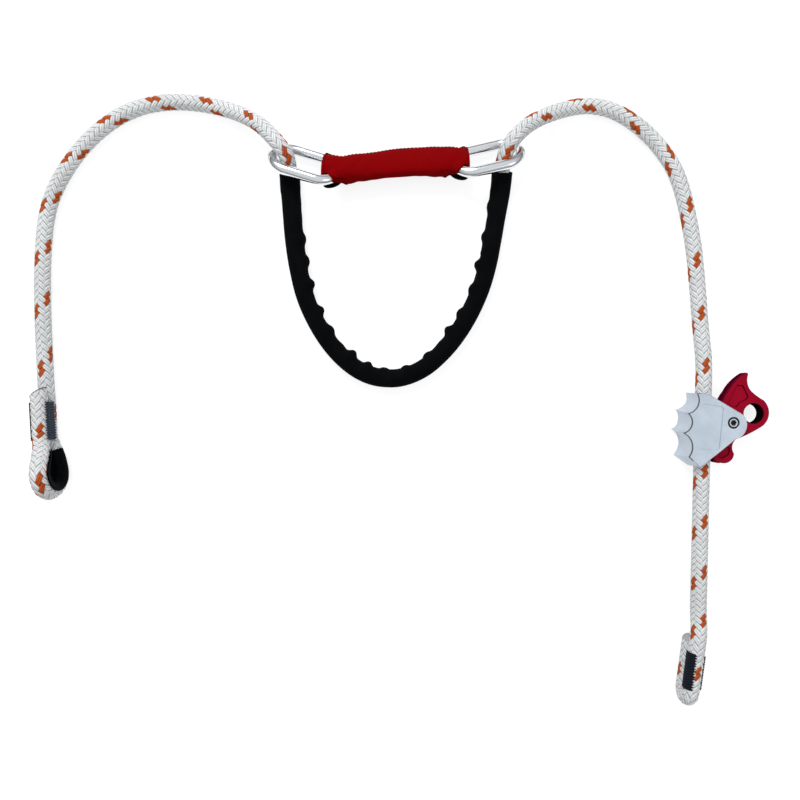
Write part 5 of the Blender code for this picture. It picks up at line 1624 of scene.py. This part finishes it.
def pivot_bolt(finish):
    """The pivot bolt: a chamfered head with a hexagon socket on a plain shank."""
    top = BODY_DEPTH - 0.15 * MM
    seat = BODY_DEPTH - 2.2 * MM
    bolt = turned("grab_bolt", [
        (3.0 * MM, 0.7 * MM), (3.0 * MM, seat), (4.2 * MM, seat), (4.2 * MM, top - 0.45 * MM),
        (3.75 * MM, top), (3.4 * MM, top)], finish, steps=48)
    carve(bolt, [turned("socket_cutter", [
        (1.6 * MM, top - 1.7 * MM), (2.3 * MM, top - 1.5 * MM), (2.3 * MM, top - 0.25 * MM),
        (2.7 * MM, top + 0.1 * MM), (2.7 * MM, top + 1 * MM)], finish, steps=6)])
    return crisp(bolt, 28)


class LANYARD_OT_stage(bpy.types.Operator):
    """Sets the camera over the bench, the pale floor and the soft lights"""

    bl_idname = "lanyard.stage"
    bl_label = "Camera, floor and lights"

    def execute(self, context):
        settings = context.scene.lanyard_stage
        scene = context.scene
        scene.view_settings.view_transform = "Standard"
        camera = bpy.data.cameras.new("overhead_camera")
        camera.sensor_width = 36
        camera.lens = camera.sensor_width * settings.camera_height / settings.seen_width
        camera.clip_start, camera.clip_end = 0.01, 50
        seat = bpy.data.objects.new("overhead_camera", camera)
        seat.location = (*settings.camera_place, settings.camera_height)
        scene.collection.objects.link(seat)
        scene.camera = seat
        corners = np.array([(-1, -1, 0), (1, -1, 0), (1, 1, 0), (-1, 1, 0)]) * FLOOR_HALF
        new_piece("bench_floor", corners, [[(0, 1, 2, 3)]], floor_finish(settings),
                           smooth=False)
        world = bpy.data.worlds.new("soft_room")
        scene.world = world
        light_the_room(world)
        for name, place, size, power in (
            ("key_softbox", (-0.45, 1.05, 1.15), 0.8, 16.5),
            ("fill_softbox", (1.1, -0.5, 1.2), 0.9, 2.5),
        ):
            lamp = bpy.data.lights.new(name, "AREA")
            lamp.shape, lamp.size, lamp.energy = "SQUARE", size, power
            stand = bpy.data.objects.new(name, lamp)
            stand.location = place
            aim = np.array(LIT_PLACE) - place
            pitch = math.atan2(math.hypot(aim[0], aim[1]), -aim[2])
            stand.rotation_euler = (pitch, 0, math.atan2(aim[1], aim[0]) - math.pi / 2)
            scene.collection.objects.link(stand)
        return {"FINISHED"}


def floor_finish(settings):
    """A pale floor that the camera, mirrors and glass see almost white, with its shadows."""
    made = Finish("pale_floor", Base_Color=settings.floor_colour)
    speck = made.noise(made.place(), 9.0, 2.0)
    made.rough(made.spread(speck, 0.3, 0.7, 0.85, 0.95))
    path = made.node("LightPath")
    seen = made.most(*(path.outputs[f"Is {ray} Ray"]
                       for ray in ("Glossy", "Transmission", "Camera")))
    glow = made.node("Emission", {"Color": (1.0, 1.0, 1.0), "Strength": 1.3})
    mixed = made.node("MixShader", {0: made.times(seen, 0.62)})
    made.tree.links.new(made.shader.outputs[0], mixed.inputs[1])
    made.tree.links.new(glow.outputs[0], mixed.inputs[2])
    out = next(n for n in made.tree.nodes if n.type == "OUTPUT_MATERIAL")
    made.tree.links.new(mixed.outputs[0], out.inputs["Surface"])
    return made.material


def light_the_room(world):
    """A room that is light grey overhead and darker towards the horizon."""
    world.use_nodes = True
    tree = world.node_tree
    back = tree.nodes["Background"]
    place = tree.nodes.new("ShaderNodeTexCoord")
    parts = tree.nodes.new("ShaderNodeSeparateXYZ")
    ramp = tree.nodes.new("ShaderNodeValToRGB")
    stops = ramp.color_ramp.elements
    stops.new(0.3)
    for stop, (share, colour) in zip(stops, (
            (0.0, (0.12, 0.13, 0.135)), (0.3, (0.31, 0.32, 0.335)), (0.75, (0.72, 0.73, 0.745)))):
        stop.position, stop.color = share, (*colour, 1)
    tree.links.new(place.outputs["Generated"], parts.inputs[0])
    tree.links.new(parts.outputs[2], ramp.inputs[0])
    tree.links.new(ramp.outputs[0], back.inputs["Color"])
    back.inputs["Strength"].default_value = 1.0


class LANYARD_PT_pieces(bpy.types.Panel):
    """Lists the pieces in the sidebar"""

    bl_label = "Tree Climbing Lanyard"
    bl_space_type = "VIEW_3D"
    bl_region_type = "UI"
    bl_category = "Lanyard"

    def draw(self, context):
        for group in SETTINGS:
            self.layout.label(text=group.replace("lanyard_", "").title())
            settings = getattr(context.scene, group)
            for name in settings.__annotations__:
                self.layout.prop(settings, name)
        for made in OPERATORS:
            self.layout.operator(made.bl_idname)


SETTINGS = {
    "lanyard_stage": LanyardStageSettings,
    "lanyard_rope": LanyardRopeSettings,
    "lanyard_cloth": LanyardClothSettings,
    "lanyard_grab": LanyardGrabSettings,
}
OPERATORS = (
    LANYARD_OT_stage, LANYARD_OT_rope, LANYARD_OT_eyes, LANYARD_OT_wear_sleeve,
    LANYARD_OT_rings, LANYARD_OT_bridge, LANYARD_OT_grab,
)


def register():
    for name, group in SETTINGS.items():
        bpy.utils.register_class(group)
        setattr(bpy.types.Scene, name, PointerProperty(type=group))
    for made in (*OPERATORS, LANYARD_PT_pieces):
        bpy.utils.register_class(made)


def unregister():
    for made in (LANYARD_PT_pieces, *reversed(OPERATORS)):
        bpy.utils.unregister_class(made)
    for name, group in SETTINGS.items():
        delattr(bpy.types.Scene, name)
        bpy.utils.unregister_class(group)


def main():
    register()
    bpy.ops.lanyard.stage()
    bpy.ops.lanyard.eyes()
    bpy.ops.lanyard.rope()
    bpy.ops.lanyard.wear_sleeve()
    bpy.ops.lanyard.rings()
    bpy.ops.lanyard.bridge()
    bpy.ops.lanyard.grab()


if __name__ == "__main__":
    main()
